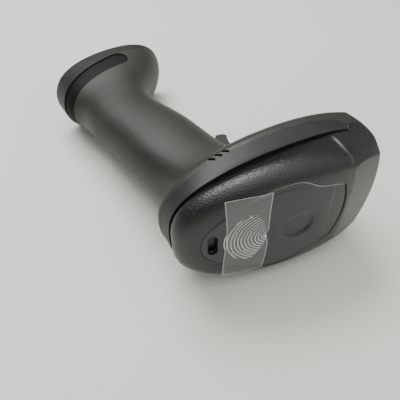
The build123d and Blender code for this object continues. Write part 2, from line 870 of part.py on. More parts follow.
with BuildPart() as cap_latch:
    with BuildSketch(latch_plane.offset(latch_sunk)):
        Circle(latch_radius)
    extrude(amount=latch_thickness)
    with BuildSketch(latch_plane.offset(latch_recess)):
        Circle(latch_shaft)
    extrude(amount=cap_wall + wing_gap + wing_thickness)
    with BuildSketch(latch_plane.offset(cap_floor + wing_gap)):
        SlotOverall(2 * wing_reach, 2 * latch_shaft)
    extrude(amount=wing_thickness)
    with BuildSketch(latch_plane.offset(latch_sunk)):
        SlotOverall(coin_slot[0], coin_slot[1])
    extrude(amount=coin_slot[2], mode=Mode.SUBTRACT)

# ---- battery and its contact plate ----
with BuildPart() as battery:
    add(chamber_prism(battery_clearance, plug_top, plug_top + battery_length))
    fillet(battery.faces().sort_by(Axis.Z)[0].edges() + battery.faces().sort_by(Axis.Z)[-1].edges(), 1.0)

with BuildPart() as battery_contacts:
    add(station_face(stations[3], handle_wall + 0.6))
    extrude(amount=board_thickness)
    with BuildSketch(chamber_plane(chamber_length - contact_height)):
        with Locations((blade_row, 0)):
            with GridLocations(0, blade_pitch, 1, 3):
                Rectangle(*blade)
    extrude(amount=contact_height + board_thickness)
with BuildPart() as battery_cable:
    for side in (1, -1):
        with BuildLine() as lead:
            Spline(
                (lead_rear, side * lead_apart, stations[3][1] + lead_rise),
                (lead_rear + 1.5, side * lead_apart, -30.0),
                (lead_front, side * lead_apart, board_level),
                tangents=[(0, 0, 1), (0, 0, 1)],
            )
        with BuildSketch(Plane(origin=lead.line @ 0, z_dir=lead.line % 0)):
            Circle(lead_radius)
        sweep(path=lead.line)

# ---- trigger, its pin, spring, switch and board ----
with BuildPart() as trigger:
    with BuildSketch(side_plane()):
        with BuildLine():
            Spline(*trigger_front)
            ThreePointArc(trigger_front[-1], (-5.0, trigger_low + 0.6), (-7.2, trigger_low))
            Polyline(
                (-7.2, trigger_low), (-9.2, trigger_low), (-11.5, -46.0), (-13.4, -30.0),
                (-13.4, trigger_front[0][1]), trigger_front[0],
            )
        make_face()
    extrude(amount=trigger_half, both=True)
    front = trigger.faces().sort_by(Axis.X)[-1]
    fillet(front.edges().filter_by(Axis.Y, reverse=True), trigger_round)
    with BuildSketch(side_plane()):
        with BuildLine():
            Polyline(
                (-2.2, -24.6), (-5.6, -31.0), (-7.4, -38.0), (-7.2, -44.0), (-6.4, -47.6),
                (-20.0, -47.6), (-20.0, -24.6), close=True,
            )
        make_face()
    extrude(amount=trigger_half - trigger_wall, both=True, mode=Mode.SUBTRACT)
    add(cross_cylinder(pivot[0], pivot[1], boss_radius + 2 * wire_radius + 0.3, spring_side - spring_room,
                       spring_side + spring_room), mode=Mode.SUBTRACT)
    add(cross_cylinder(pivot[0], pivot[1], boss_radius, -trigger_half, trigger_half))
    finger_z = pivot[1] - switch_below
    with BuildSketch(side_plane()):
        with Locations((finger_tip / 2 - 3.0, finger_z)):
            SlotOverall(-finger_tip - 6.0, 2 * finger_radius)
    extrude(amount=finger_half, both=True)
    add(cross_cylinder(pivot[0], pivot[1], pin_radius + pin_running, -far, far), mode=Mode.SUBTRACT)
trigger_pin = cross_cylinder(pivot[0], pivot[1], pin_radius, -pin_half, pin_half)

spring_radius = boss_radius + spring_gap + wire_radius
coil = []
for step in range(12 * spring_turns + 1):
    angle = math.radians(30.0 * step + 180.0)
    coil.append((
        pivot[0] + spring_radius * math.cos(angle),
        -spring_pitch * spring_turns / 2 + spring_pitch * step / 12 + spring_side,
        pivot[1] + spring_radius * math.sin(angle),
    ))
with BuildPart() as trigger_spring:
    with BuildLine() as wire:
        Spline(*coil)
    with BuildSketch(Plane(origin=wire.line @ 0, z_dir=wire.line % 0)):
        Circle(wire_radius)
    sweep(path=wire.line)

trigger_board = block(
    (board_back, -trigger_board_half, trigger_board_low),
    (trigger_board_face, trigger_board_half, trigger_board_high),
)
switch_front = trigger_board_face + switch_depth
with BuildPart() as trigger_switch:
    add(block(
        (trigger_board_face, -switch_half, finger_z - switch_half),
        (switch_front, switch_half, finger_z + switch_half),
    ))
    with BuildSketch(Plane.YZ.offset(switch_front)):
        with Locations((0, finger_z)):
            Circle(plunger_radius + pin_running)
    extrude(amount=-plunger_well, mode=Mode.SUBTRACT)
with BuildPart() as switch_plunger:
    with BuildSketch(Plane.YZ.offset(finger_tip - switch_gap)):
        with Locations((0, finger_z)):
            Circle(plunger_radius)
    extrude(amount=-plunger_length)
flex_middle = (board_back + trigger_board_face) / 2
trigger_cable = block(
    (flex_middle - flex_thickness / 2, -flex_half, trigger_board_high),
    (flex_middle + flex_thickness / 2, flex_half, board_level),
)

# ---- boards in the head ----
board_top = board_level + board_thickness
with BuildPart() as main_board:
    with BuildSketch(Plane.XY.offset(board_level)):
        with Locations(((board_front + board_rear) / 2, 0)):
            RectangleRounded(board_front - board_rear, 2 * board_half, 3.0)
        with Locations((board_rear - tongue_length / 2 + 3.0, 0)):
            RectangleRounded(tongue_length + 6.0, 2 * tongue_half, 3.0)
        with Locations(*post_sites):
            Circle(board_screw_radius + screw_fit, mode=Mode.SUBTRACT)
    extrude(amount=board_thickness)


def pan_screws(plane, sites, radius, length, head_radius, head):
    """Cross-head screws that stand on one plane, with their shanks behind it."""
    with BuildPart() as screws:
        with BuildSketch(plane):
            with Locations(*sites):
                Circle(head_radius)
        extrude(amount=head)
        with BuildSketch(plane):
            with Locations(*sites):
                Circle(radius)
        extrude(amount=-length)
        with BuildSketch(plane.offset(head)):
            with Locations(*sites):
                Rectangle(head_radius, 0.3 * head_radius)
                Rectangle(0.3 * head_radius, head_radius)
        extrude(amount=-head / 2, mode=Mode.SUBTRACT)
    return screws.part


board_screws = pan_screws(
    Plane.XY.offset(board_top), post_sites, board_screw_radius, board_screw_length, board_screw_head[0],
    board_screw_head[1],
)
housing_screws = pan_screws(
    Plane.XZ.offset(-screw_seat), screw_sites, screw_radius, screw_depth - screw_seat - 1.0,
    screw_head_radius,
    screw_head,
)
processor_chip = block((-8.0, -6.0, board_top), (4.0, 6.0, board_top + 1.2))
memory_chip = block((-9.0, 9.5, board_top), (0.0, 17.0, board_top + 1.0))
radio_module = block((-8.0, -21.0, board_top), (8.0, -9.5, board_top + 2.4))
with BuildPart() as beeper:
    with BuildSketch(Plane.XY.offset(board_top)):
        with Locations((sound_at, 0)):
            Circle(beeper_size[0])
    extrude(amount=beeper_size[1])
    with BuildSketch(Plane.XY.offset(board_top + beeper_size[1])):
        with Locations((sound_at, 0)):
            Circle(1.2)
    extrude(amount=-1.5, mode=Mode.SUBTRACT)
with BuildPart() as indicator_board:
    with BuildSketch(Plane.XY.offset(indicator_level)):
        with Locations((indicator_at, 0)):
            RectangleRounded(*indicator_size, 2.0)
    extrude(amount=1.0)
    with BuildSketch(Plane.XY.offset(board_top)):
        with Locations((indicator_at, 0)):
            with GridLocations(0, indicator_size[1] - 6.0, 1, 2):
                Circle(1.5)
    extrude(amount=indicator_level - board_top)
with BuildPart() as indicator_leds:
    with BuildSketch(Plane.XY.offset(indicator_level + 1.0)):
        with Locations((indicator_at, 0)):
            with GridLocations(6.0, 6.0, 2, 3):
                Rectangle(3.0, 2.4)
    extrude(amount=1.4)

# ---- scan engine on its chassis ----
with BuildPart() as engine_chassis:
    with BuildSketch(Plane.XY.offset(engine_level)):
        with Locations(((chassis_rear + chassis_front) / 2, 0)):
            RectangleRounded(chassis_front - chassis_rear, 2 * chassis_half, 2.0)
        with Locations(*engine_sites):
            Circle(board_screw_radius + screw_fit, mode=Mode.SUBTRACT)
    extrude(amount=board_thickness)
chassis_top = engine_level + board_thickness
chassis_screws = pan_screws(
    Plane.XY.offset(chassis_top), engine_sites, board_screw_radius, board_screw_length, board_screw_head[0],
    board_screw_head[1],
)
with BuildPart() as scan_engine:
    with BuildSketch(Plane.XY.offset(chassis_top)):
        with Locations(((engine_rear + engine_front) / 2, 0)):
            RectangleRounded(engine_front - engine_rear, 2 * engine_half, 1.0)
    extrude(amount=engine_height)
    with BuildSketch(Plane.YZ.offset(engine_front)):
        with Locations((0, chassis_top + engine_height / 2)):
            Circle(lens_radius + 1.4)
    extrude(amount=1.5)
    with BuildSketch(Plane.YZ.offset(engine_front + 1.5)):
        with Locations((0, chassis_top + engine_height / 2)):
            Circle(lens_radius)
    extrude(amount=-2.5, mode=Mode.SUBTRACT)
lens_level = chassis_top + engine_height / 2
with BuildPart() as engine_lens:
    with BuildSketch(Plane.YZ.offset(engine_front - 1.0)):
        with Locations((0, lens_level)):
            Circle(lens_radius)
    extrude(amount=3.0)
    fillet(engine_lens.faces().sort_by(Axis.X)[-1].edges(), 1.2)
with BuildPart() as illumination_leds:
    with BuildSketch(Plane.YZ.offset(engine_front)):
        with Locations((-led_apart, lens_level), (led_apart, lens_level)):
            Circle(1.8)
    extrude(amount=1.6)
with BuildPart() as engine_cable:
    with BuildSketch(side_plane()):
        with BuildLine():
            FilletPolyline((8.0, board_top), (13.5, board_top), (13.5, 3.0), (engine_rear, 3.0), radius=1.2)
            offset(amount=flex_thickness, side=Side.LEFT)
        make_face()
    extrude(amount=flex_half, both=True)

# ---- the scanner as it lies, on the right side of its head and foot ----
lean = math.degrees(math.atan2(lip_half + 0.3 - cap_station[4], -cap_station[1] - bumper_height))
resting = Location((0, 0, 0), (90 - lean, 0, 0))
pieces = {
    "top_shell": top_shell.part, "top_panel": top_panel.part, "indicator_lens": indicator_lens.part,
    "protective_film": protective_film.part, "sound_mesh": sound_mesh.part, "head_bumper": head_bumper.part,
    "window_bezel": framed_bezel.part, "scan_window": scan_window.part, "handle_left": handle_left.part,
    "handle_right": handle_right.part, "foot_bumper": foot_bumper.part, "battery_cap": battery_cap.part,
    "cap_seal": cap_seal.part, "cap_latch": cap_latch.part, "charge_contacts": charge_contacts.part,
    "battery": battery.part, "battery_contacts": battery_contacts.part, "battery_cable": battery_cable.part,
    "trigger": trigger.part, "trigger_pin": trigger_pin, "trigger_spring": trigger_spring.part,
    "trigger_board": trigger_board, "trigger_switch": trigger_switch.part,
    "switch_plunger": switch_plunger.part, "trigger_cable": trigger_cable,
    "main_board": main_board.part, "board_screws": board_screws,
    "processor_chip": processor_chip, "memory_chip": memory_chip, "radio_module": radio_module,
    "beeper": beeper.part, "indicator_board": indicator_board.part, "indicator_leds": indicator_leds.part,
    "engine_chassis": engine_chassis.part, "chassis_screws": chassis_screws, "scan_engine": scan_engine.part,
    "engine_lens": engine_lens.part, "illumination_leds": illumination_leds.part,
    "engine_cable": engine_cable.part, "housing_screws": housing_screws,
}
outer = [
    "top_shell", "head_bumper", "handle_left", "handle_right", "battery_cap", "protective_film", "trigger",
]
low = [math.inf] * 3
high = [-math.inf] * 3
for name in outer:
    box = pieces[name].moved(resting).bounding_box()
    low = [min(a, b) for a, b in zip(low, box.min)]
    high = [max(a, b) for a, b in zip(high, box.max)]
to_floor = Location((-(low[0] + high[0]) / 2, -(low[1] + high[1]) / 2, -low[2])) * resting
for name, piece in pieces.items():
    placed = piece.moved(to_floor)
    placed.label = name
    export_step(placed, f"parts/{name}.step")
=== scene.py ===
# %% [markdown]
# # A handheld barcode scanner
# The scanner lies on its right side on a pale desk. Its solids come from the workshop model, so every
# piece here starts where that model says, in metres. What is left is what the eye judges: grained plastic,
# rubber, a ridged lens and the film over it.

# %% Load the model
import json
import math
import bmesh
import bpy
import numpy as np
from mathutils import Matrix, Vector, kdtree, noise


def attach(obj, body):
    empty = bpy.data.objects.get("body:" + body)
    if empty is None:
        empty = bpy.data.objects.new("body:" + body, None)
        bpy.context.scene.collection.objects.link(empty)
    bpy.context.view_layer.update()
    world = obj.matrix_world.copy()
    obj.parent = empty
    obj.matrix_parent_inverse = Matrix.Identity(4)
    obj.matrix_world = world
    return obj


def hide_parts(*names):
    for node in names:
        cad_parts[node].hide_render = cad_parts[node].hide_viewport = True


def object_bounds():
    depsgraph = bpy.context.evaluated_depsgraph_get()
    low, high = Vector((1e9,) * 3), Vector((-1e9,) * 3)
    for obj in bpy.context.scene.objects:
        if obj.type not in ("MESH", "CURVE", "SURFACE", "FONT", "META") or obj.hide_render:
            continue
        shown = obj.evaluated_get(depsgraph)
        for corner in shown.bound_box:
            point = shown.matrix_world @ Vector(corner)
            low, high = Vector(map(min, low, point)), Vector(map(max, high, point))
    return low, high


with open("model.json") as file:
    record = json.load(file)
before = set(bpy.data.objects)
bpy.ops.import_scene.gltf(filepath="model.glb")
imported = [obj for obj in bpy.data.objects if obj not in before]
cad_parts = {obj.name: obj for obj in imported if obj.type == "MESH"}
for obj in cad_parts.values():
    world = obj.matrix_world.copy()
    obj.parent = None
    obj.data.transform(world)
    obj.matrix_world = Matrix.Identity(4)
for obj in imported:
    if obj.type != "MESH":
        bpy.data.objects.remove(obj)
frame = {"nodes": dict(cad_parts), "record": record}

cad_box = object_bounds()
cad_low, cad_high = (tuple(float(v) for v in corner) for corner in cad_box)
MM = 0.001
print("nodes", len(frame["nodes"]), "box", cad_low, cad_high)

# %% [markdown]
# ## Where the scanner's own directions point
# The scanner is easiest to think about standing up: forward along the beam, left, and up out of the top
# panel. It lies turned about its forward axis. One function takes a point from the upright frame, in
# millimetres, to the desk.

# %% The scanner's upright frame
LEAN = math.radians(83.6647250806045)
SHIFT = Vector((14.346532846513, -66.5678458081597, 38.09204147716461))
turn = Matrix.Rotation(LEAN, 3, "X")


def at(x, y, z):
    """A point of the upright scanner, in millimetres, as it lies on the desk, in metres."""
    return (turn @ Vector((x, y, z)) + SHIFT) * MM


def along(x, y, z):
    """A direction of the upright scanner as it lies on the desk."""
    return turn @ Vector((x, y, z))


def upright(point):
    """The other way: a point on the desk, in metres, in the upright frame, in millimetres."""
    return turn.transposed() @ (Vector(point) / MM - SHIFT)


print("thumb dimple lies at", [round(v, 4) for v in at(0, 0, 18.5)])

# %% [markdown]
# ## Camera
# A phone held above and behind the head, looking down over the thumb dimple towards the foot.

# %% Camera
SENSOR_WIDTH, LENS_LENGTH, NEAREST = 36.0, 36.76, 0.01
TO_THE_RIGHT, DOWNWARDS, AHEAD = (0.903, -0.017, 0.430), (-0.325, -0.682, 0.656), (0.282, -0.731, -0.621)
CAMERA_AT = (-92.1, 148.9, 109.6)

camera_data = bpy.data.cameras.new("camera")
camera_data.sensor_width = SENSOR_WIDTH
camera_data.lens = LENS_LENGTH
camera_data.clip_start = NEAREST
camera = bpy.data.objects.new("camera", camera_data)
bpy.context.scene.collection.objects.link(camera)
stand = Matrix((along(*TO_THE_RIGHT), -along(*DOWNWARDS), -along(*AHEAD))).transposed().to_4x4()
stand.translation = at(*CAMERA_AT)
camera.matrix_world = stand
bpy.context.scene.camera = camera
print("camera stands at", [round(v, 3) for v in stand.translation])

# %% [markdown]
# ## Colours and nodes
# Colours are written as a colour picker shows them, in sRGB hex. Blender's shaders want linear light, so
# one function converts them. A second one adds a node, sets its values and joins it to the nodes before
# it. An input is given by its name, or by its number where a node has several of one name.

# %% Helpers for materials


def linear(code):
    """A colour picker's hex value as linear red, green, blue and alpha."""
    parts = [int(code[i:i + 2], 16) / 255 for i in (1, 3, 5)]
    return tuple(p / 12.92 if p <= 0.04045 else ((p + 0.055) / 1.055) ** 2.4 for p in parts) + (1.0,)


def put(owner, kind, settings=None, links=None):
    """Adds a node, sets its values and inputs, and links its inputs from other nodes' outputs."""
    node = owner.node_tree.nodes.new(kind)
    for name, value in (settings or {}).items():
        if isinstance(name, int) or name in node.inputs:
            node.inputs[name].default_value = value
        else:
            setattr(node, name, value)
    for name, (source, output) in (links or {}).items():
        owner.node_tree.links.new(source.outputs[output], node.inputs[name])
    return node


def new_material(name):
    material = bpy.data.materials.new(name)
    material.use_nodes = True
    material.node_tree.nodes.clear()
    return material


def finish_with(material, shader):
    put(material, "ShaderNodeOutputMaterial", {}, {"Surface": (shader, 0)})
    print("material", material.name, "with", len(material.node_tree.nodes), "nodes")
    return material


print("a picker's middle grey is", round(linear("#808080")[0], 3), "in linear light")

# %% [markdown]
# ## Moulded housings: PC/ABS with a spark-eroded grain
# The shells are moulded from a blend of polycarbonate and ABS. The mould was spark eroded, which leaves a
# fine pebble grain, about a third of a millimetre from hill to hill. It shows as a satin sheen that breaks
# up near a highlight. One noise pattern makes the grain, up to twice as coarse as it is so that it shows
# from this far away. A broad one is for handling, which polishes some places more than others.

# %% Moulded plastic
HANDLING_MM = 28          # how far apart the places lie that hands have polished
GRAIN_HEIGHT = 0.12 * MM


def moulded_plastic(name, colour, worn, grain_mm, rough, depth, sheen=0.5):
    """Grained PC/ABS: colour drifts a little, roughness drifts with wear, and the grain is a bump."""
    m = new_material(name)
    place = put(m, "ShaderNodeTexCoord")
    grain = put(m, "ShaderNodeTexNoise", {"Scale": 1 / (grain_mm * MM), "Detail": 3.0, "Roughness": 0.6},
                {"Vector": (place, "Object")})
    pebble = put(m, "ShaderNodeTexVoronoi", {"Scale": 0.8 / (grain_mm * MM)},
                 {"Vector": (place, "Object")})
    drift = put(m, "ShaderNodeTexNoise", {"Scale": 1 / (HANDLING_MM * MM), "Detail": 2.0},
                {"Vector": (place, "Object")})
    shade = put(m, "ShaderNodeValToRGB", {}, {"Fac": (drift, "Fac")})
    shade.color_ramp.elements[0].position = 0.35
    shade.color_ramp.elements[0].color = linear(colour)
    shade.color_ramp.elements[1].position = 0.75
    shade.color_ramp.elements[1].color = linear(worn)
    gloss = put(m, "ShaderNodeMapRange",
                {"From Min": 0.3, "From Max": 0.7, "To Min": rough - 0.05, "To Max": rough + 0.07},
                {"Value": (drift, "Fac")})
    heights = put(m, "ShaderNodeMath", {"operation": "ADD"}, {0: (grain, "Fac"), 1: (pebble, "Distance")})
    bump = put(m, "ShaderNodeBump", {"Strength": depth, "Distance": GRAIN_HEIGHT},
               {"Height": (heights, 0)})
    shader = put(m, "ShaderNodeBsdfPrincipled", {"IOR": 1.54, "Specular IOR Level": sheen},
                 {"Base Color": (shade, "Color"), "Roughness": (gloss, 0), "Normal": (bump, 0)})
    return finish_with(m, shader)


handle_plastic = moulded_plastic("Grained_PC_ABS_handle", "#262723", "#2d2e29", 0.6, 0.48, 0.35, 0.33)
shell_plastic = moulded_plastic("Grained_PC_ABS_top_shell", "#0d0f10", "#141617", 0.62, 0.27, 1.2, 0.46)
panel_plastic = moulded_plastic("Fine_grained_PC_ABS_panel", "#272b2c", "#303435", 0.45, 0.42, 0.25)
cap_plastic = moulded_plastic("Grained_PC_ABS_cap", "#1b1b1a", "#222221", 0.6, 0.50, 0.42, 0.34)
trigger_plastic = moulded_plastic("Grained_PC_ABS_trigger", "#151615", "#1b1c1b", 0.5, 0.45, 0.3)
black_plastic = moulded_plastic("Fine_grained_black_ABS", "#0a0a0b", "#101011", 0.45, 0.4, 0.2)

# %% [markdown]
# ## Lines on a finish
# Some lines are too thin to be worth cutting: the shadow in a parting line, the highlight that a small edge
# catches. Thin strips of mesh would stand proud of the skin, and a picture would have to be unwrapped. Here
# the finish itself mixes in a second colour, as painted shade or painted highlight, placed by a value stored
# on the mesh or by how far a point is along one of the scanner's own directions.

# %% A second colour over a finish
MIX_AMOUNT, MIX_UNDER, MIX_OVER, MIX_RESULT = 0, 6, 7, 2      # a Mix node's sockets when it mixes colours


def painted_over(material, where, code):
    """Mixes a second colour over a finish, by the amount that one output of a node gives."""
    shader = next(n for n in material.node_tree.nodes if n.bl_idname == "ShaderNodeBsdfPrincipled")
    under = shader.inputs["Base Color"].links[0].from_socket
    over = put(material, "ShaderNodeMix", {"data_type": "RGBA", MIX_OVER: linear(code)},
               {MIX_AMOUNT: where})
    material.node_tree.links.new(under, over.inputs[MIX_UNDER])
    material.node_tree.links.new(over.outputs[MIX_RESULT], shader.inputs["Base Color"])


def edge_lines(material, lines):
    """Lays thin lines over a finish: each follows one value stored on the mesh, in its own colour."""
    for name, code in lines:
        near = put(material, "ShaderNodeAttribute", {"attribute_name": name})
        painted_over(material, (near, "Fac"), code)
    print("lines over", material.name, [name for name, code in lines])


# Painted highlight on the upper outline and dimple lip; painted shade on the lower ones and the outlet ring.
edge_lines(panel_plastic, (("painted_highlight_edge", "#8d908d"), ("painted_shade_edge", "#0b0c0c")))

# %% [markdown]
# ## The parting line's painted shadow and the crease's painted highlight
# Where the lower housing meets the nose, the shadow in a parting line is painted dark, running forward at one
# height. On the shell, a pale painted highlight runs down the crease between shoulder and cheek, most near
# its foot, and fades as it climbs.

# %% Lines placed by measure
LINE_HALF = 0.35                         # half the width of the parting line's shadow
PARTING_LEVEL, PARTING_FROM = -5.2, 35.3
CREASE_AT, CREASE_SIDE = 23.8, 28.0      # its station along the scanner, and how far out it starts
CREASE_CORE, CREASE_EDGE = 0.1, 1.2      # full strength up to the first, and nothing beyond the second


def measured(material, direction):
    """How far a point lies along one of the upright scanner's directions, in millimetres."""
    axis = along(*direction)
    place = put(material, "ShaderNodeTexCoord")
    reach = put(material, "ShaderNodeVectorMath", {"operation": "DOT_PRODUCT", 1: axis / MM},
                {0: (place, "Object")})
    return put(material, "ShaderNodeMath", {"operation": "SUBTRACT", 1: axis.dot(SHIFT)},
               {0: (reach, "Value")})


def parting_line(material, level, ahead_of, code):
    """Draws the shadow of a parting line at one height of the upright scanner, ahead of one station."""
    on_level = put(material, "ShaderNodeMath", {"operation": "COMPARE", 1: level, 2: LINE_HALF},
                   {0: (measured(material, (0, 0, 1)), 0)})
    ahead = put(material, "ShaderNodeMath", {"operation": "GREATER_THAN", 1: ahead_of},
                {0: (measured(material, (1, 0, 0)), 0)})
    both = put(material, "ShaderNodeMath", {"operation": "MULTIPLY"}, {0: (on_level, 0), 1: (ahead, 0)})
    painted_over(material, (both, 0), code)
    print("parting line on", material.name, "at", level)


def painted_highlight_crease(material, station, code):
    """Paints a pale highlight down the crease where the shoulder turns into the cheek of the nose."""
    past = put(material, "ShaderNodeMath", {"operation": "SUBTRACT", 1: station},
               {0: (measured(material, (1, 0, 0)), 0)})
    off = put(material, "ShaderNodeMath", {"operation": "ABSOLUTE"}, {0: (past, 0)})
    height = measured(material, (0, 0, 1))
    sideways = put(material, "ShaderNodeMath", {"operation": "ABSOLUTE"},
                   {0: (measured(material, (0, 1, 0)), 0)})
    outside = put(material, "ShaderNodeMath", {"operation": "GREATER_THAN", 1: CREASE_SIDE},
                  {0: (sideways, 0)})
    line = put(material, "ShaderNodeMapRange",
               {"From Min": CREASE_CORE, "From Max": CREASE_EDGE, "To Min": 1.0, "To Max": 0.0},
               {"Value": (off, 0)})
    foot = put(material, "ShaderNodeMapRange", {"From Min": 1.0, "From Max": 4.0}, {"Value": (height, 0)})
    fade = put(material, "ShaderNodeMapRange",
               {"From Min": 6.0, "From Max": 13.0, "To Min": 0.6, "To Max": 0.1},
               {"Value": (height, 0)})
    amount = line
    for factor in (outside, foot, fade):
        amount = put(material, "ShaderNodeMath", {"operation": "MULTIPLY"},
                     {0: (amount, 0), 1: (factor, 0)})
    painted_over(material, (amount, 0), code)
    print("rubbed crease on", material.name, "at", station)


parting_line(handle_plastic, PARTING_LEVEL, PARTING_FROM, "#040404")
# The pale line down each cheek's crease is a painted highlight.
painted_highlight_crease(shell_plastic, CREASE_AT, "#8b8f8e")

# %% [markdown]
# ## Soft rubber: overmoulded TPE
# The band round the head and the strip round the foot are a soft thermoplastic rubber. It is nearly black,
# duller than the plastic, and its bloom shows as faint lighter clouds. It takes a typical rubber IOR of 1.5.

# %% Rubber


def soft_rubber(name, colour, bloom, rough, sheen=0.4):
    """Near-black rubber: faint lighter clouds of bloom, and a skin that is never quite flat."""
    m = new_material(name)
    place = put(m, "ShaderNodeTexCoord")
    clouds = put(m, "ShaderNodeTexNoise", {"Scale": 1 / (9 * MM), "Detail": 4.0},
                 {"Vector": (place, "Object")})
    skin = put(m, "ShaderNodeTexNoise", {"Scale": 1 / (0.5 * MM), "Detail": 2.0},
               {"Vector": (place, "Object")})
    shade = put(m, "ShaderNodeValToRGB", {}, {"Fac": (clouds, "Fac")})
    shade.color_ramp.elements[0].position = 0.4
    shade.color_ramp.elements[0].color = linear(colour)
    shade.color_ramp.elements[1].position = 0.8
    shade.color_ramp.elements[1].color = linear(bloom)
    bump = put(m, "ShaderNodeBump", {"Strength": 0.2, "Distance": 0.1 * MM}, {"Height": (skin, "Fac")})
    shader = put(m, "ShaderNodeBsdfPrincipled",
                 {"IOR": 1.5, "Roughness": rough, "Specular IOR Level": sheen},
                 {"Base Color": (shade, "Color"), "Normal": (bump, 0)})
    return finish_with(m, shader)


bumper_rubber = soft_rubber("Soft_TPE_bumper", "#1a1a1c", "#222225", 0.5)
foot_rubber = soft_rubber("Soft_TPE_foot_band", "#0b0b0c", "#121213", 0.6, 0.15)
seal_rubber = soft_rubber("Silicone_seal", "#2a2a2c", "#333335", 0.5)

# %% [markdown]
# ## Smoked polycarbonate, glass and film
# The indicator lens is smoked polycarbonate with an IOR of 1.58. The scan window is acrylic, dyed so dark
# a red that it looks black until light falls through it. Both are polished in the mould.

# %% Clear plastics


def clear_plastic(name, colour, ior, rough, clear):
    """Polished clear plastic or glass: its haze shows only in how sharp a reflection is."""
    m = new_material(name)
    place = put(m, "ShaderNodeTexCoord")
    haze = put(m, "ShaderNodeTexNoise", {"Scale": 1 / (3 * MM), "Detail": 3.0},
               {"Vector": (place, "Object")})
    gloss = put(m, "ShaderNodeMapRange", {"To Min": rough, "To Max": rough + 0.1},
                {"Value": (haze, "Fac")})
    shader = put(m, "ShaderNodeBsdfPrincipled",
                 {"Base Color": linear(colour), "IOR": ior, "Transmission Weight": clear},
                 {"Roughness": (gloss, 0)})
    return finish_with(m, shader)


window_acrylic = clear_plastic("Dyed_acrylic_window", "#1c0508", 1.49, 0.05, 0.25)
coated_glass = clear_plastic("Coated_lens_glass", "#8fa3b5", 1.52, 0.03, 0.8)
led_epoxy = clear_plastic("Clear_LED_epoxy", "#e6e2cf", 1.5, 0.1, 0.3)

# %% [markdown]
# ## The ridged lens and the film over it
# Rings are moulded into the lens round its pointed front end, 1.65 mm apart. A ring's polished crest
# catches the light, so it is painted pale as a painted highlight, and its groove dark as painted shade.
# The film is the clear vinyl that a new scanner is shipped under, a little milky. Its cut edge is painted
# as a bright line, a painted highlight, and how near a point is to that edge is stored on the film's mesh.

# %% Ridged lens and film
RIDGE = 1.65                        # from one ring to the next, in millimetres
LENS_TIP = (-16.6, 0.0, 16.8)


def ridged_lens(name, crest, groove):
    """Painted highlight and shade in rings round the lens's point, one pair to each moulded ridge."""
    m = new_material(name)
    place = put(m, "ShaderNodeTexCoord")
    away = put(m, "ShaderNodeVectorMath", {"operation": "DISTANCE", 1: at(*LENS_TIP)},
               {0: (place, "Object")})
    turns = put(m, "ShaderNodeMath", {"operation": "DIVIDE", 1: RIDGE * MM}, {0: (away, "Value")})
    wave = put(m, "ShaderNodeMath", {"operation": "FRACT"}, {0: (turns, 0)})
    haze = put(m, "ShaderNodeTexNoise", {"Scale": 1 / (2.2 * MM), "Detail": 3.0},
               {"Vector": (place, "Object")})
    uneven = put(m, "ShaderNodeMath", {"operation": "MULTIPLY_ADD", 1: 0.25},
                 {0: (haze, "Fac"), 2: (wave, 0)})
    rings = put(m, "ShaderNodeValToRGB", {}, {"Fac": (uneven, 0)})
    ramp = rings.color_ramp
    ramp.elements[0].position = 0.40
    ramp.elements[0].color = linear(groove)
    ramp.elements[1].position = 0.62
    ramp.elements[1].color = linear(crest)
    for position, code in ((0.82, crest), (0.98, groove)):
        ramp.elements.new(position).color = linear(code)
    shader = put(m, "ShaderNodeBsdfPrincipled", {"IOR": 1.58, "Roughness": 0.12},
                 {"Base Color": (rings, "Color")})
    return finish_with(m, shader)


def clear_film(name, tint, edge_highlight, clearness):
    """Thin vinyl: some light goes straight through, and the rest meets a milky, glossy skin."""
    m = new_material(name)
    place = put(m, "ShaderNodeTexCoord")
    edge = put(m, "ShaderNodeAttribute", {"attribute_name": "edge"})
    ripple = put(m, "ShaderNodeTexNoise", {"Scale": 1 / (7 * MM), "Detail": 2.0},
                 {"Vector": (place, "Object")})
    bump = put(m, "ShaderNodeBump", {"Strength": 0.35, "Distance": 0.5 * MM},
               {"Height": (ripple, "Fac")})
    # Near the cut edge the film is painted paler and less clear: a painted highlight on the edge.
    colour = put(m, "ShaderNodeValToRGB", {}, {"Fac": (edge, "Fac")})
    colour.color_ramp.elements[0].color = linear(tint)
    colour.color_ramp.elements[1].color = linear(edge_highlight)
    skin = put(m, "ShaderNodeBsdfPrincipled", {"IOR": 1.5, "Roughness": 0.24},
               {"Base Color": (colour, "Color"), "Normal": (bump, 0)})
    through = put(m, "ShaderNodeBsdfTransparent", {"Color": linear("#f4f5f4")})
    share = put(m, "ShaderNodeMapRange", {"To Min": 1 - clearness, "To Max": 0.8},
                {"Value": (edge, "Fac")})
    shader = put(m, "ShaderNodeMixShader", {}, {"Fac": (share, 0), 1: (through, 0), 2: (skin, 0)})
    return finish_with(m, shader)


# The crest colour is a painted highlight and the groove colour painted shade.
smoked_lens = ridged_lens("Smoked_polycarbonate_lens", "#f2f3f0", "#161818")
vinyl_film = clear_film("Clear_vinyl_film", "#a8abaa", "#e6e8e7", 0.70)

# %% [markdown]
# ## Metals and boards
# Inside are steel screws and sheet, tinned cans, gold-plated contacts and green circuit boards. Metals keep
# Blender's own IOR, and their finish comes from roughness and a fine brushed bump.

# %% Metals and boards


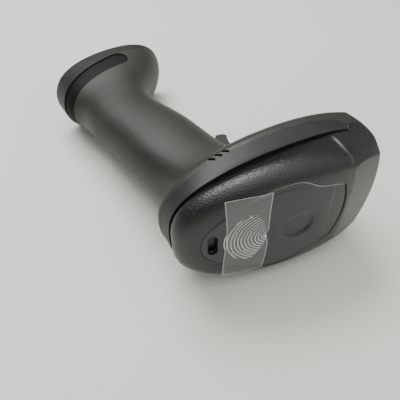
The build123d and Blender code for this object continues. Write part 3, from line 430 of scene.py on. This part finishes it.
def plain_metal(name, colour, rough, brushed_mm):
    """Bare or plated metal with fine brush lines in its gloss and its surface."""
    m = new_material(name)
    place = put(m, "ShaderNodeTexCoord")
    stretch = put(m, "ShaderNodeMapping", {"Scale": (1.0, 12.0, 1.0)}, {"Vector": (place, "Object")})
    lines = put(m, "ShaderNodeTexNoise", {"Scale": 1 / (brushed_mm * MM), "Detail": 2.0},
                {"Vector": (stretch, 0)})
    gloss = put(m, "ShaderNodeMapRange", {"To Min": rough - 0.06, "To Max": rough + 0.08},
                {"Value": (lines, "Fac")})
    bump = put(m, "ShaderNodeBump", {"Strength": 0.15, "Distance": 0.03 * MM},
               {"Height": (lines, "Fac")})
    shader = put(m, "ShaderNodeBsdfPrincipled", {"Base Color": linear(colour), "Metallic": 1.0},
                 {"Roughness": (gloss, 0), "Normal": (bump, 0)})
    return finish_with(m, shader)


def printed_board(name, mask, copper, trace_mm):
    """A circuit board or flex: tracks show as a paler grid through the lacquer."""
    m = new_material(name)
    place = put(m, "ShaderNodeTexCoord")
    tracks = put(m, "ShaderNodeTexBrick", {"Scale": 1 / (trace_mm * MM), "Mortar Size": 0.06,
                                           "Color1": linear(mask), "Color2": linear(mask),
                                           "Mortar": linear(copper)}, {"Vector": (place, "Object")})
    shader = put(m, "ShaderNodeBsdfPrincipled", {"IOR": 1.5, "Roughness": 0.35},
                 {"Base Color": (tracks, "Color")})
    return finish_with(m, shader)


plated_steel = plain_metal("Zinc_plated_steel", "#b4b6b8", 0.32, 0.8)
tinned_can = plain_metal("Tinned_steel_can", "#c8c8c4", 0.38, 1.2)
gold_contact = plain_metal("Gold_plated_contact", "#d9b36a", 0.25, 0.6)
circuit_board = printed_board("Solder_masked_FR4", "#0f4a2a", "#1b6a3d", 3.0)
amber_film = printed_board("Polyimide_flex", "#a8641c", "#c07a2b", 1.0)
epoxy_black = moulded_plastic("Epoxy_chip_body", "#101010", "#161616", 0.4, 0.5, 0.15)
battery_wrap = moulded_plastic("PVC_battery_wrap", "#1f2022", "#26272a", 2.0, 0.35, 0.1)
acetal = moulded_plastic("Natural_acetal", "#cfcabb", "#d8d3c5", 0.8, 0.4, 0.1)
lead_skin = soft_rubber("Red_lead_insulation", "#6a0d10", "#75181a", 0.45)

# %% [markdown]
# ## Shapes that several pieces share
# The top of the head is a shallow dome: a long arc from nose to rear and a slightly flatter one across it.
# The panel, the lens and the film all lie on it, so its height is one function. A second one is the soft
# change that every blend, fade and pressed edge here is made with.

# %% Shapes that several pieces share
CROWN_TOP, CROWN_AT, LONG_RADIUS, CROSS_RADIUS = 19.3, 18.0, 235.0, 300.0


def crown_height(x, y):
    """Height of the head's double-curved top face."""
    long_sag = LONG_RADIUS - math.sqrt(LONG_RADIUS ** 2 - (x - CROWN_AT) ** 2)
    cross_sag = CROSS_RADIUS - math.sqrt(CROSS_RADIUS ** 2 - y ** 2)
    return CROWN_TOP - long_sag - cross_sag


def smooth_step(value, start, width):
    """Nothing before the start, all beyond the width, and an even curve between."""
    t = min(1.0, max(0.0, (value - start) / width))
    return t * t * (3 - 2 * t)


print("the crown is", round(crown_height(0, 0), 2), "mm high over the dimple")

# %% [markdown]
# ## Refining a moulding
# The workshop model's meshes are made of broad flat facets, and a real moulding is one smooth skin with
# crisp parting lines. So the mesh is refined and its edges are kept, which keeps every fit true. First it
# is cut fine.

# %% Cutting a mesh fine
SHARP = math.radians(26)      # an edge that turns by more than this stays crisp
ROUNDS_OF_CUTS = 7
WELD = 1e-7                   # points closer than this, in metres, are one point


def cut_fine(mesh, longest):
    """Cuts every edge longer than the given length, in metres, into shorter ones."""
    bm = bmesh.new()
    bm.from_mesh(mesh)
    bmesh.ops.remove_doubles(bm, verts=bm.verts, dist=WELD)
    bmesh.ops.triangulate(bm, faces=bm.faces)
    for _ in range(ROUNDS_OF_CUTS):
        long_edges = [e for e in bm.edges if e.calc_length() > longest]
        if not long_edges:
            break
        bmesh.ops.subdivide_edges(bm, edges=long_edges, cuts=1)
        bmesh.ops.triangulate(bm, faces=[f for f in bm.faces if len(f.verts) > 3])
    bm.to_mesh(mesh)
    bm.free()
    mesh.update()

print("edges that turn by more than", round(math.degrees(SHARP)), "degrees stay crisp")

# %% [markdown]
# ## Smoothing the skin
# Averaging the points themselves would shrink the piece and round its edges, so the skin is smoothed in
# two steps. Each facet first takes the average direction of its neighbours, but never across a sharp edge.
# Then each point moves a little at a time until its facets lie square to those directions. Points on a
# sharp edge stay where they are.

# %% Facets and their neighbours
SPECK, DUST = 1e-12, 1e-15    # small numbers that keep a division from failing


def neighbours(faces):
    """For each triangle, the triangles across its three edges, or itself where there is none."""
    owner = {}
    beside = np.tile(np.arange(len(faces))[:, None], (1, 3))
    for f, (a, b, c) in enumerate(faces):
        for side, key in enumerate(((a, b), (b, c), (c, a))):
            key = (min(key), max(key))
            if key in owner:
                g, other = owner[key]
                beside[f, side] = g
                beside[g, other] = f
            else:
                owner[key] = (f, side)
    return beside


def directions(points, faces):
    """Which way each facet looks, and twice its area."""
    a, b, c = (points[faces[:, i]] for i in range(3))
    cross = np.cross(b - a, c - a)
    size = np.linalg.norm(cross, axis=1)
    return cross / np.maximum(size, DUST)[:, None], size


def joined_sides(points, faces, facing, beside, regions):
    """Which sides of each facet are smooth: neither a sharp edge nor the border of a region."""
    alike = np.einsum("ij,ikj->ik", facing, facing[beside])
    joined = alike > math.cos(SHARP)
    if regions is not None:
        zone = np.array([regions(upright(c), f) for c, f in zip(points[faces].mean(axis=1), facing)])
        joined &= zone[:, None] == zone[beside]
    return joined


print("a facet looks", directions(np.eye(3), np.array([[0, 1, 2]]))[0][0].round(3), "on a cube's corner")

# %% Smoothing the skin
SETTLE_STEPS = 12
FARTHEST_MOVE = 0.35 * MM


def averaged(facing, size, beside, joined, spread):
    """Averages each facet's direction with its smooth neighbours' over the given number of steps."""
    weight = joined * (size[beside] + SPECK)
    for _ in range(spread):
        total = facing * size[:, None] + np.einsum("ik,ikj->ij", weight, facing[beside])
        facing = total / np.maximum(np.linalg.norm(total, axis=1), DUST)[:, None]
    return facing


def settled(points, faces, facing):
    """Moves the points, a little at a time, until the facets lie square to their directions."""
    count = np.bincount(faces.ravel(), minlength=len(points)).astype(float)
    for _ in range(SETTLE_STEPS):
        middle = points[faces].mean(axis=1)
        move = np.zeros_like(points)
        for corner in range(3):
            gap = np.einsum("ij,ij->i", facing, middle - points[faces[:, corner]])
            push = facing * gap[:, None]
            for axis in range(3):
                move[:, axis] += np.bincount(faces[:, corner], push[:, axis], len(points))
        points = points + move / np.maximum(count, 1)[:, None]
    return points


def smooth_skin(mesh, spread, regions=None):
    """Smooths a mesh inside its sharp edges. Gives the farthest move and the edges that were held."""
    start = np.empty(len(mesh.vertices) * 3)
    mesh.vertices.foreach_get("co", start)
    start = start.reshape(-1, 3)
    faces = np.array([tuple(p.vertices) for p in mesh.polygons])
    facing, size = directions(start, faces)
    beside = neighbours(faces.tolist())
    joined = joined_sides(start, faces, facing, beside, regions)
    corners = np.stack([faces, np.roll(faces, -1, axis=1)], axis=-1)
    held = np.zeros(len(start), dtype=bool)
    held[corners[~joined].ravel()] = True
    facing = averaged(facing, size, beside, joined, spread)
    drift = settled(start, faces, facing) - start
    reach = np.linalg.norm(drift, axis=1)
    share = np.minimum(1.0, FARTHEST_MOVE / np.maximum(reach, SPECK)) * ~held
    points = start + drift * share[:, None]
    mesh.vertices.foreach_set("co", points.ravel())
    mesh.update()
    ridges = {tuple(sorted(pair)) for pair in corners[~joined].tolist()}
    return float((reach * share).max()), ridges


print("no point moves more than", FARTHEST_MOVE / MM, "mm")

# %% [markdown]
# ## Shading the shoulders
# The top shell's shoulders are rounder to the eye than their facets are. Rounder geometry would leave the
# workshop's shape, so only the directions that the shader reads are averaged over a wider reach. Round the
# small step under the nose the facets are shaded flat, because a smoothed direction there catches stray
# light.

# %% Shading the shoulders
NOTCH_X, NOTCH_Z, NOTCH_OUT = (33.9, 37.0), (-6.2, 0.3), 20
FADE_LENGTH = 10              # over this much length the rounder shading gives way to the plain one
SAME_WAY = 0.35               # directions less alike than this don't belong to one shoulder


def at_notch(point):
    """Whether a point lies round the small step where the bumper's channel ends under the nose."""
    along_it = NOTCH_X[0] < point.x < NOTCH_X[1] and NOTCH_Z[0] < point.z < NOTCH_Z[1]
    return along_it and abs(point.y) > NOTCH_OUT


def sharp_points(mesh):
    """For each point, whether a sharp edge meets it."""
    marked = [False] * len(mesh.vertices)
    for edge in mesh.edges:
        if edge.use_edge_sharp:
            marked[edge.vertices[0]] = marked[edge.vertices[1]] = True
    return marked


def broad_shading(mesh, reach, last_x):
    """Shades a skin as if its shoulders were rounder: each normal is averaged with those within reach."""
    normals = [n.vector.copy() for n in mesh.vertex_normals]
    tree = kdtree.KDTree(len(mesh.vertices))
    for i, v in enumerate(mesh.vertices):
        tree.insert(v.co, i)
    tree.balance()
    softened = []
    for i, v in enumerate(mesh.vertices):
        share = 1 - smooth_step(upright(v.co).x, last_x - FADE_LENGTH, FADE_LENGTH)
        mean = Vector()
        if share > 0:
            for _, j, gap in tree.find_range(v.co, reach * MM):
                if normals[i].dot(normals[j]) > SAME_WAY:
                    mean += normals[j] * (1 - gap / (reach * MM)) ** 2
            mean.normalize()
        softened.append((normals[i] * (1 - share) + mean * share).normalized())
    plain = [edge or at_notch(upright(v.co)) for edge, v in zip(sharp_points(mesh), mesh.vertices)]
    chosen = [(0.0, 0.0, 0.0) if still else tuple(n) for n, still in zip(softened, plain)]
    for facet in mesh.polygons:
        if at_notch(upright(facet.center)):
            facet.use_smooth = False
    mesh.normals_split_custom_set_from_vertices(chosen)


print("the step under the nose runs from", NOTCH_X[0], "to", NOTCH_X[1])

# %% [markdown]
# ## A refined copy of a piece
# The steps above work on a copy. It rides on the same body as the workshop's piece and takes its place.

# %% A refined copy of a piece
SKIN_MM, SKIN_SPREAD = 1.6, 10


def refined(node, material, longest_mm=SKIN_MM, spread=SKIN_SPREAD, regions=None):
    """A fine copy of a moulding that stands for the workshop's coarse one."""
    source = frame["nodes"][node]
    mesh = source.data.copy()
    mesh.name = node + "_skin"
    piece = bpy.data.objects.new(node + "_moulding", mesh)
    bpy.context.scene.collection.objects.link(piece)
    piece.matrix_world = source.matrix_world.copy()
    cut_fine(mesh, longest_mm * MM)
    moved, ridges = smooth_skin(mesh, spread, regions)
    mesh.shade_smooth()
    mesh.set_sharp_from_angle(angle=SHARP)
    for edge in mesh.edges:
        if tuple(sorted(edge.vertices)) in ridges:
            edge.use_edge_sharp = True
    mesh.materials.clear()
    mesh.materials.append(material)
    body = next(b for b, names in frame["record"]["behaviour"]["bodies"].items() if node in names)
    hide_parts(node)
    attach(piece, body)
    print(node, "refined to", len(mesh.polygons), "facets, moved by at most", round(moved / MM, 2), "mm")
    return piece


print("skins are cut to", SKIN_MM, "mm or less")

# %% [markdown]
# ## The creases of the nose
# Ahead of the dome the shell's nose is three planes: a brow that falls towards the window, and a cheek on
# each side. The creases between them are too blunt for the sharp-edge test, and smoothing across them
# would melt the nose. So directions are never averaged from one plane to another.

# %% The creases of the nose
BROW_AT, BROW_SLOPE = 26.5, math.radians(12.6)
CHEEK_POINT, CHEEK_NORMAL = (24.7, 30.2, 17.0), Vector((0.220, 0.968, 0.121)).normalized()
NEAR = 0.16                   # how close to a plane a facet of it lies, in millimetres
BROW_LIKE, CHEEK_LIKE = 0.9985, 0.9995


def nose_regions(point, facing):
    """Which of the shell's forms a facet belongs to: 1 the brow, 2 and 3 the cheeks, 0 the rest."""
    direction = turn.transposed() @ Vector(facing)
    brow_height = crown_height(BROW_AT, point.y) - (point.x - BROW_AT) * math.tan(BROW_SLOPE)
    brow_normal = Vector((math.tan(BROW_SLOPE), point.y / CROSS_RADIUS, 1.0)).normalized()
    on_brow = point.x > BROW_AT and abs(point.z - brow_height) < NEAR
    if on_brow and direction.dot(brow_normal) > BROW_LIKE:
        return 1
    for side, region in ((1, 2), (-1, 3)):
        normal = Vector((CHEEK_NORMAL.x, side * CHEEK_NORMAL.y, CHEEK_NORMAL.z))
        corner = Vector((CHEEK_POINT[0], side * CHEEK_POINT[1], CHEEK_POINT[2]))
        if abs((point - corner).dot(normal)) < NEAR and direction.dot(normal) > CHEEK_LIKE:
            return region
    return 0


print("brow falls", round(math.degrees(BROW_SLOPE), 1), "degrees ahead of", BROW_AT)

# %% [markdown]
# ## The big mouldings
# Top shell, both halves of the lower housing, cap, bumpers, trigger and bezel are what the eye meets
# first. Each is refined and given its own finish. The handle is all gentle curves, so its facets may be a
# little longer.

# %% The big mouldings
HANDLE_MM = 2.1
SHOULDER_REACH, SHOULDER_END = 8.0, 24.0
NOTCH_REAR = 36.0             # behind this the step is coloured like the rubber beside it
mouldings = {
    "top_shell": shell_plastic,
    "handle_left": handle_plastic,
    "handle_right": handle_plastic,
    "battery_cap": cap_plastic,
    "head_bumper": bumper_rubber,
    "foot_bumper": foot_rubber,
    "trigger": trigger_plastic,
    "window_bezel": black_plastic,
}
skins = {}
for node, material in mouldings.items():
    regions = nose_regions if node == "top_shell" else None
    longest = HANDLE_MM if node.startswith("handle") else SKIN_MM
    skins[node] = refined(node, material, longest, regions=regions)
broad_shading(skins["top_shell"].data, SHOULDER_REACH, SHOULDER_END)
shell_mesh = skins["top_shell"].data
shell_mesh.materials.append(foot_rubber)
for facet in shell_mesh.polygons:
    centre = upright(facet.center)
    if at_notch(centre) and centre.x < NOTCH_REAR:
        facet.material_index = 1
print("refined", len(skins), "mouldings")

# %% [markdown]
# ## The dark gap round the head
# Between the shell and the bumper the eye looks into a groove that no light reaches. Its floor, and a ledge
# under the nose, are painted black as painted shade, and the bumper's upper edge drops by up to half a
# millimetre.

# %% The dark gap
GROOVE_FLOOR = -2.3
NOSE_FLOOR = {"ahead_of": 34, "above": -5.2, "within": 29}
EDGE_DROP, DROP_FROM, DROP_OVER = 0.5, -2.6, 1.0

# Painted shade: housing facets in the groove and on the ledge under the nose take black plastic.
for node in ("handle_left", "handle_right"):
    mesh = skins[node].data
    mesh.materials.append(black_plastic)
    for facet in mesh.polygons:
        centre = upright(facet.center)
        under_nose = centre.x > NOSE_FLOOR["ahead_of"] and centre.z > NOSE_FLOOR["above"]
        if centre.z > GROOVE_FLOOR or (under_nose and abs(centre.y) < NOSE_FLOOR["within"]):
            facet.material_index = 1
lowered = 0
for point in skins["head_bumper"].data.vertices:
    place = upright(point.co)
    drop = EDGE_DROP * smooth_step(place.z, DROP_FROM, DROP_OVER)
    if drop:
        point.co = at(place.x, place.y, place.z - drop)
        lowered += 1
print("groove blackened, and", lowered, "points of the bumper lowered")

# %% [markdown]
# ## The top panel
# The panel is a thin moulding of its own. Its flat thumb dimple has a crisp wall, its middle stands 0.3 mm
# above a border, and a shallow strip, left bare, crosses its front where a nameplate would sit. The front
# edge stops about half a millimetre short of the shell, which leaves a dark line. All are pressed into a
# refined copy, and how near a point is to the rim tells where the border runs.

# %% The panel's skin and rim
PANEL_MM, PANEL_SPREAD = 0.6, 4
TOP_FACE, RIM_FROM, RIM_TO = 0.9, 0.5, 1.3      # depths under the dome, in millimetres

panel = refined("top_panel", panel_plastic, PANEL_MM, PANEL_SPREAD)
panel_mesh = panel.data
local = [upright(v.co) for v in panel_mesh.vertices]
depths = [crown_height(p.x, p.y) - p.z for p in local]
rim = [p for p, depth in zip(local, depths) if RIM_FROM < depth < RIM_TO]
rim_tree = kdtree.KDTree(len(rim))
for i, p in enumerate(rim):
    rim_tree.insert(Vector((p.x, p.y, 0)), i)
rim_tree.balance()
print("panel has", len(rim), "points on its rim")

# %% What is pressed into the panel
FRONT_MIDDLE, FRONT_CORNER, CORNER_OUT = 24.8, 21.8, 18.2      # the front edge's arc
FRONT_GAP = 0.55
CUT_RADIUS, CUT_DEPTH = 8.5, 0.7                # the workshop's own soft dimple, which is taken out
DISH_DEPTH, DISH_RADIUS = 1.05, 7.7
BORDER_DEPTH, BORDER_WIDTH = 0.30, 2.6
STRIP_DEPTH, STRIP_AT = 0.22, 15.6


def pulled_back(p):
    """How far the panel's front edge is drawn back at one point."""
    front_edge = FRONT_MIDDLE - (FRONT_MIDDLE - FRONT_CORNER) * (p.y / CORNER_OUT) ** 2
    return FRONT_GAP * smooth_step(p.x, front_edge - 2.0, 1.6) * (1 - smooth_step(abs(p.y), 17.0, 1.2))


def pressed(p, inward, from_middle):
    """How deep the panel's top face is pressed at one point: border, strip and dimple."""
    border = 1 - smooth_step(inward, BORDER_WIDTH, 0.9)
    border *= (1 - smooth_step(p.x, -6.0, 10.0)) * (1 - smooth_step(-p.x, 30.0, 4.0))
    strip = smooth_step(p.x, STRIP_AT, 0.8)
    dish = 1 - smooth_step(from_middle, DISH_RADIUS, 0.8)
    inside = from_middle < CUT_RADIUS
    present = max(0.0, CUT_DEPTH * (1 - (from_middle / CUT_RADIUS) ** 2)) if inside else 0.0
    return BORDER_DEPTH * border + STRIP_DEPTH * strip + DISH_DEPTH * dish - present


middle = Vector((0, 0, 0))
print("the dimple is pressed", round(pressed(middle, 20.0, 0.0), 2), "mm beyond the workshop's")

# %% Lines round the panel and its dimple
LIP_RADIUS, WALL_RADIUS = 8.3, 7.8


def line_strengths(p, inward, from_middle):
    """How strong the painted highlight and the painted shade are at one point of the top face."""
    line = (1 - smooth_step(inward, 0.1, 0.6)) * (1 - smooth_step(p.x, 19.0, 2.0))
    ahead = smooth_step(p.x, -34.0, 8.0)
    upper, lower = smooth_step(p.y, 4.0, 6.0), smooth_step(-p.y, 4.0, 6.0)
    lip = 1 - smooth_step(abs(from_middle - LIP_RADIUS), 0.2, 0.5)
    wall = 1 - smooth_step(abs(from_middle - WALL_RADIUS), 0.3, 0.5)
    lit = max(0.0, p.y / LIP_RADIUS)
    unlit = max(0.0, (0.4 * p.x - p.y) / LIP_RADIUS)
    return max(line * ahead * upper, 0.35 * lip * lit), max(line * max(1 - ahead, lower), 0.75 * wall * unlit)


# Painted highlight on lit upper edges, painted shade on the lower ones, the outlet ring and the dimple wall.
painted_highlight, shaded = [0.0] * len(local), [0.0] * len(local)
for i, (p, depth) in enumerate(zip(local, depths)):
    pull_back, press = pulled_back(p), 0.0
    if depth < TOP_FACE:
        inward = rim_tree.find(Vector((p.x, p.y, 0)))[2]
        from_middle = math.hypot(p.x, p.y)
        painted_highlight[i], shaded[i] = line_strengths(p, inward, from_middle)
        press = pressed(p, inward, from_middle)
    if press or pull_back:
        panel_mesh.vertices[i].co = at(p.x - pull_back, p.y, p.z - press)
panel_mesh.update()
for name, values in (("painted_highlight_edge", painted_highlight), ("painted_shade_edge", shaded)):
    panel_mesh.attributes.new(name, "FLOAT", "POINT").data.foreach_set("value", values)
print("panel pressed, its lines stored on", len(local), "points")

# %% [markdown]
# ## The small pieces
# Screws, boards, chips and the engine keep the workshop's shapes. Each takes the finish of its material.

# %% The small pieces
finishes = {
    "sound_mesh": black_plastic,
    "scan_window": window_acrylic, "cap_seal": seal_rubber, "cap_latch": black_plastic,
    "charge_contacts": gold_contact, "battery": battery_wrap, "battery_contacts": black_plastic,
    "battery_cable": lead_skin, "trigger_pin": plated_steel, "trigger_spring": plated_steel,
    "trigger_board": circuit_board, "trigger_switch": black_plastic, "switch_plunger": acetal,
    "trigger_cable": amber_film, "main_board": circuit_board, "board_screws": plated_steel,
    "processor_chip": epoxy_black, "memory_chip": epoxy_black, "radio_module": tinned_can,
    "beeper": black_plastic, "indicator_board": circuit_board, "indicator_leds": led_epoxy,
    "engine_chassis": plated_steel, "chassis_screws": plated_steel, "scan_engine": black_plastic,
    "engine_lens": coated_glass, "illumination_leds": led_epoxy, "engine_cable": amber_film,
    "housing_screws": plated_steel,
}
for node, material in finishes.items():
    mesh = frame["nodes"][node].data
    mesh.materials.clear()
    mesh.materials.append(material)
print("finished", len(finishes), "small pieces")

# %% [markdown]
# ## The indicator lens
# The lens is a fan of saw-toothed rings round its front point. Its mesh is drawn in the same way: rays
# leave the point, each as long as the workshop lens is that way, and every ring is six steps from crest to
# crest. A short wall closes it down into the panel.

# %% The indicator lens
lens_source = frame["nodes"]["indicator_lens"].data
outline = sorted({(round(p.x, 3), round(p.y, 3)) for p in (upright(v.co) for v in lens_source.vertices)})


def hull(points):
    """The convex outline of sorted points in a plane."""
    halves = []
    for ordered in (points, points[::-1]):
        chain = []
        for x, y in ordered:
            while len(chain) > 1:
                (x1, y1), (x2, y2) = chain[-2:]
                if (x2 - x1) * (y - y1) - (y2 - y1) * (x - x1) > 0:
                    break
                chain.pop()
            chain.append((x, y))
        halves += chain[:-1]
    return halves


lens_hull = hull(outline)
TIP_INSET = 0.25
POINT_X = max(x for x, y in lens_hull) - TIP_INSET
print("lens outline has", len(lens_hull), "corners, and its point is at", round(POINT_X, 2))

# %% How far the lens reaches
PARALLEL = 1e-9               # a side that turns away less than this never meets the ray
SLACK = 1e-6                  # lets a ray meet a side at its very end


def lens_reach(angle):
    """How far the lens runs from its point in one direction."""
    dx, dy = math.cos(angle), math.sin(angle)
    best = 0.0
    for (x1, y1), (x2, y2) in zip(lens_hull, lens_hull[1:] + lens_hull[:1]):
        side = dx * (y2 - y1) - dy * (x2 - x1)
        if abs(side) > PARALLEL:
            away = ((x1 - POINT_X) * (y2 - y1) - y1 * (x2 - x1)) / side
            along_edge = ((x1 - POINT_X) * dy - y1 * dx) / side
            if away > 0 and -SLACK <= along_edge <= 1 + SLACK:
                best = max(best, away)
    return best


print("straight back it reaches", round(lens_reach(math.pi), 2), "mm")

# %% The lens's rings
RAYS, STEP = 180, RIDGE / 6
LONGEST_RAY = 21.0
LENS_PROUD, TOOTH_DEPTH = 0.2, 0.30
FLAT_RIM, WALL_DEPTH = 0.6, 1.2

lens_points, lens_faces = [at(POINT_X, 0, crown_height(POINT_X, 0) + LENS_PROUD)], []
ring_count = int(LONGEST_RAY / STEP)
for ray in range(RAYS):
    angle = 2 * math.pi * ray / RAYS
    reach_here = lens_reach(angle)
    for ring in range(1, ring_count + 1):
        away = min(ring * STEP, reach_here)
        x, y = POINT_X + away * math.cos(angle), away * math.sin(angle)
        tooth = (away / RIDGE) % 1.0
        drop = TOOTH_DEPTH * (1 - tooth) if away < reach_here - FLAT_RIM else 0.0
        lens_points.append(at(x, y, crown_height(x, y) + LENS_PROUD - drop))
    x, y = POINT_X + reach_here * math.cos(angle), reach_here * math.sin(angle)
    lens_points.append(at(x, y, crown_height(x, y) - WALL_DEPTH))
per_ray = ring_count + 1
for ray in range(RAYS):
    here, there = 1 + ray * per_ray, 1 + ((ray + 1) % RAYS) * per_ray
    lens_faces.append((0, here, there))
    for ring in range(per_ray - 1):
        lens_faces.append((here + ring, here + ring + 1, there + ring + 1, there + ring))
lens_mesh = bpy.data.meshes.new("ridged_lens")
lens_mesh.from_pydata(lens_points, [], lens_faces)
lens_form = bmesh.new()
lens_form.from_mesh(lens_mesh)
bmesh.ops.remove_doubles(lens_form, verts=lens_form.verts, dist=1e-6)
bmesh.ops.recalc_face_normals(lens_form, faces=lens_form.faces)
lens_form.to_mesh(lens_mesh)
lens_form.free()
lens_mesh.materials.append(smoked_lens)
lens = bpy.data.objects.new("ridged_lens", lens_mesh)
bpy.context.scene.collection.objects.link(lens)
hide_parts("indicator_lens")
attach(lens, "housing")
print("lens has", len(lens_mesh.polygons), "facets and a point at", round(POINT_X, 2))

# %% [markdown]
# ## The protective film
# The film is a strip, 20.3 mm by 54.6 mm, pulled straight across the panel by hand. It clings along the
# middle, bridges the hollow beside the panel, and its free ends lift and curl. A grid of points follows
# the crowned top face, plus small waves and one crease at its rear edge.

# %% The film's shape
FILM_REAR, FILM_FRONT, FILM_HALF = -36.4, -16.1, 27.3
ACROSS, ALONG = 60, 150
FILM_OVER_DOME = 0.36
WAVE_HEIGHT, CURL_HEIGHT, CREASE_HEIGHT = 0.10, 0.22, 0.28
TEAR_DEPTH, TEAR_HALF, TEAR_AT = 2.6, 3.6, 0.6


def film_height(x, y):
    """The crowned face, plus the lens under the film, loose waves, lifted ends and a crease."""
    height = crown_height(x, y) + FILM_OVER_DOME
    height += WAVE_HEIGHT * noise.noise(Vector((x * 0.22, y * 0.16, 1.7)))
    end = smooth_step(abs(y), 19.0, 8.5)
    height += end * (0.10 + CURL_HEIGHT * math.sin(0.28 * x + (0.9 if y > 0 else 2.6)))
    crease = math.exp(-((y + 1.0 + 0.35 * (x - FILM_REAR)) / 0.9) ** 2)
    crease *= 1 - smooth_step(x, FILM_REAR + 4, 5)
    return height + CREASE_HEIGHT * crease


def front_edge_at(y):
    """The front cut is straight but for the small tear over the lens's point."""
    tear = max(0.0, 1 - abs(y - TEAR_AT) / TEAR_HALF)
    return FILM_FRONT - TEAR_DEPTH * tear - 0.35 * math.sin(y * 0.11)


print("the film is drawn", round(FILM_FRONT - FILM_REAR, 1), "by", round(2 * FILM_HALF, 1), "mm")

# %% The protective film
EDGE_WIDTH = 0.5
film_points, film_edges = [], []
for row in range(ALONG + 1):
    y = -FILM_HALF + 2 * FILM_HALF * row / ALONG
    rear = FILM_REAR + 0.5 * math.sin(0.13 * y + 0.6)
    front = front_edge_at(y)
    for column in range(ACROSS + 1):
        x = rear + (front - rear) * column / ACROSS
        film_points.append(at(x, y, film_height(x, y)))
        to_edge = min(x - rear, front - x, FILM_HALF - abs(y))
        film_edges.append(1 - smooth_step(to_edge, 0.0, EDGE_WIDTH))
film_faces = []
for row in range(ALONG):
    for column in range(ACROSS):
        first = row * (ACROSS + 1) + column
        film_faces.append((first, first + 1, first + ACROSS + 2, first + ACROSS + 1))
film_mesh = bpy.data.meshes.new("film_sheet")
film_mesh.from_pydata(film_points, [], film_faces)
film_mesh.shade_smooth()
edge_store = film_mesh.attributes.new("edge", "FLOAT", "POINT")
edge_store.data.foreach_set("value", film_edges)
film_mesh.materials.append(vinyl_film)
film = bpy.data.objects.new("film_sheet", film_mesh)
bpy.context.scene.collection.objects.link(film)
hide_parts("protective_film")
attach(film, "housing")
print("film has", len(film_points), "points")

# %% [markdown]
# ## The desk
# The desk is a plain pale laminate with a faint drift of tone.

# %% Desk
DESK_HALF = 1.6
desk_laminate = new_material("Pale_desk_laminate")
desk_place = put(desk_laminate, "ShaderNodeTexCoord")
desk_cloud = put(desk_laminate, "ShaderNodeTexNoise", {"Scale": 7.0, "Detail": 2.0},
                 {"Vector": (desk_place, "Object")})
desk_tone = put(desk_laminate, "ShaderNodeValToRGB", {}, {"Fac": (desk_cloud, "Fac")})
desk_tone.color_ramp.elements[0].color = linear("#c7c6bf")
desk_tone.color_ramp.elements[1].color = linear("#cfcec7")
desk_shader = put(desk_laminate, "ShaderNodeBsdfPrincipled", {"Roughness": 0.6, "IOR": 1.5},
                  {"Base Color": (desk_tone, "Color")})
finish_with(desk_laminate, desk_shader)
desk_mesh = bpy.data.meshes.new("desk")
desk_mesh.from_pydata([(-DESK_HALF, -DESK_HALF, 0), (DESK_HALF, -DESK_HALF, 0),
                       (DESK_HALF, DESK_HALF, 0), (-DESK_HALF, DESK_HALF, 0)], [], [(0, 1, 2, 3)])
desk = bpy.data.objects.new("desk", desk_mesh)
bpy.context.scene.collection.objects.link(desk)
desk_mesh.materials.append(desk_laminate)
print("desk is", 2 * DESK_HALF, "m square")

# %% [markdown]
# ## The light
# The room's light is broad and soft, and brightest from above on the side of the head. A ramp over the
# direction of each ray makes it. A wide lamp overhead fills the shadows, and a smaller one beyond the foot
# gives the top shell its streak of highlight.

# %% Light
BRIGHT_SIDE = (0.35, -0.45, 0.82)
ROOM_STRENGTH = 1.25

world = bpy.data.worlds.new("room")
bpy.context.scene.world = world
world.use_nodes = True
aim = put(world, "ShaderNodeTexCoord")
side_of = put(world, "ShaderNodeVectorMath", {"operation": "DOT_PRODUCT", 1: BRIGHT_SIDE},
              {0: (aim, "Generated")})
shade = put(world, "ShaderNodeValToRGB", {}, {"Fac": (side_of, "Value")})
shade.color_ramp.elements[0].position = 0.0
shade.color_ramp.elements[0].color = linear("#3c3c3a")
shade.color_ramp.elements[1].position = 0.90
shade.color_ramp.elements[1].color = linear("#fffefa")
shade.color_ramp.elements.new(0.50).color = linear("#93928f")
background = world.node_tree.nodes["Background"]
world.node_tree.links.new(shade.outputs["Color"], background.inputs["Color"])
background.inputs["Strength"].default_value = ROOM_STRENGTH
print("room has", len(world.node_tree.nodes), "nodes")

# %% Lamps


def softbox(name, where, towards, size, watts):
    """A white rectangular lamp at one point that faces another, both in metres."""
    data = bpy.data.lights.new(name, "AREA")
    data.shape = "RECTANGLE"
    data.size, data.size_y = size
    data.energy = watts
    lamp = bpy.data.objects.new(name, data)
    lamp.location = where
    lamp.rotation_euler = (Vector(towards) - Vector(where)).to_track_quat("-Z", "Y").to_euler()
    bpy.context.scene.collection.objects.link(lamp)


softbox("ceiling_panel", (-0.35, 0.1, 1.7), (0.0, 0.0, 0.0), (1.9, 1.9), 20.0)
softbox("window_above", (-0.10, 0.50, 0.86), (0.0, -0.05, 0.05), (0.66, 0.34), 12.0)
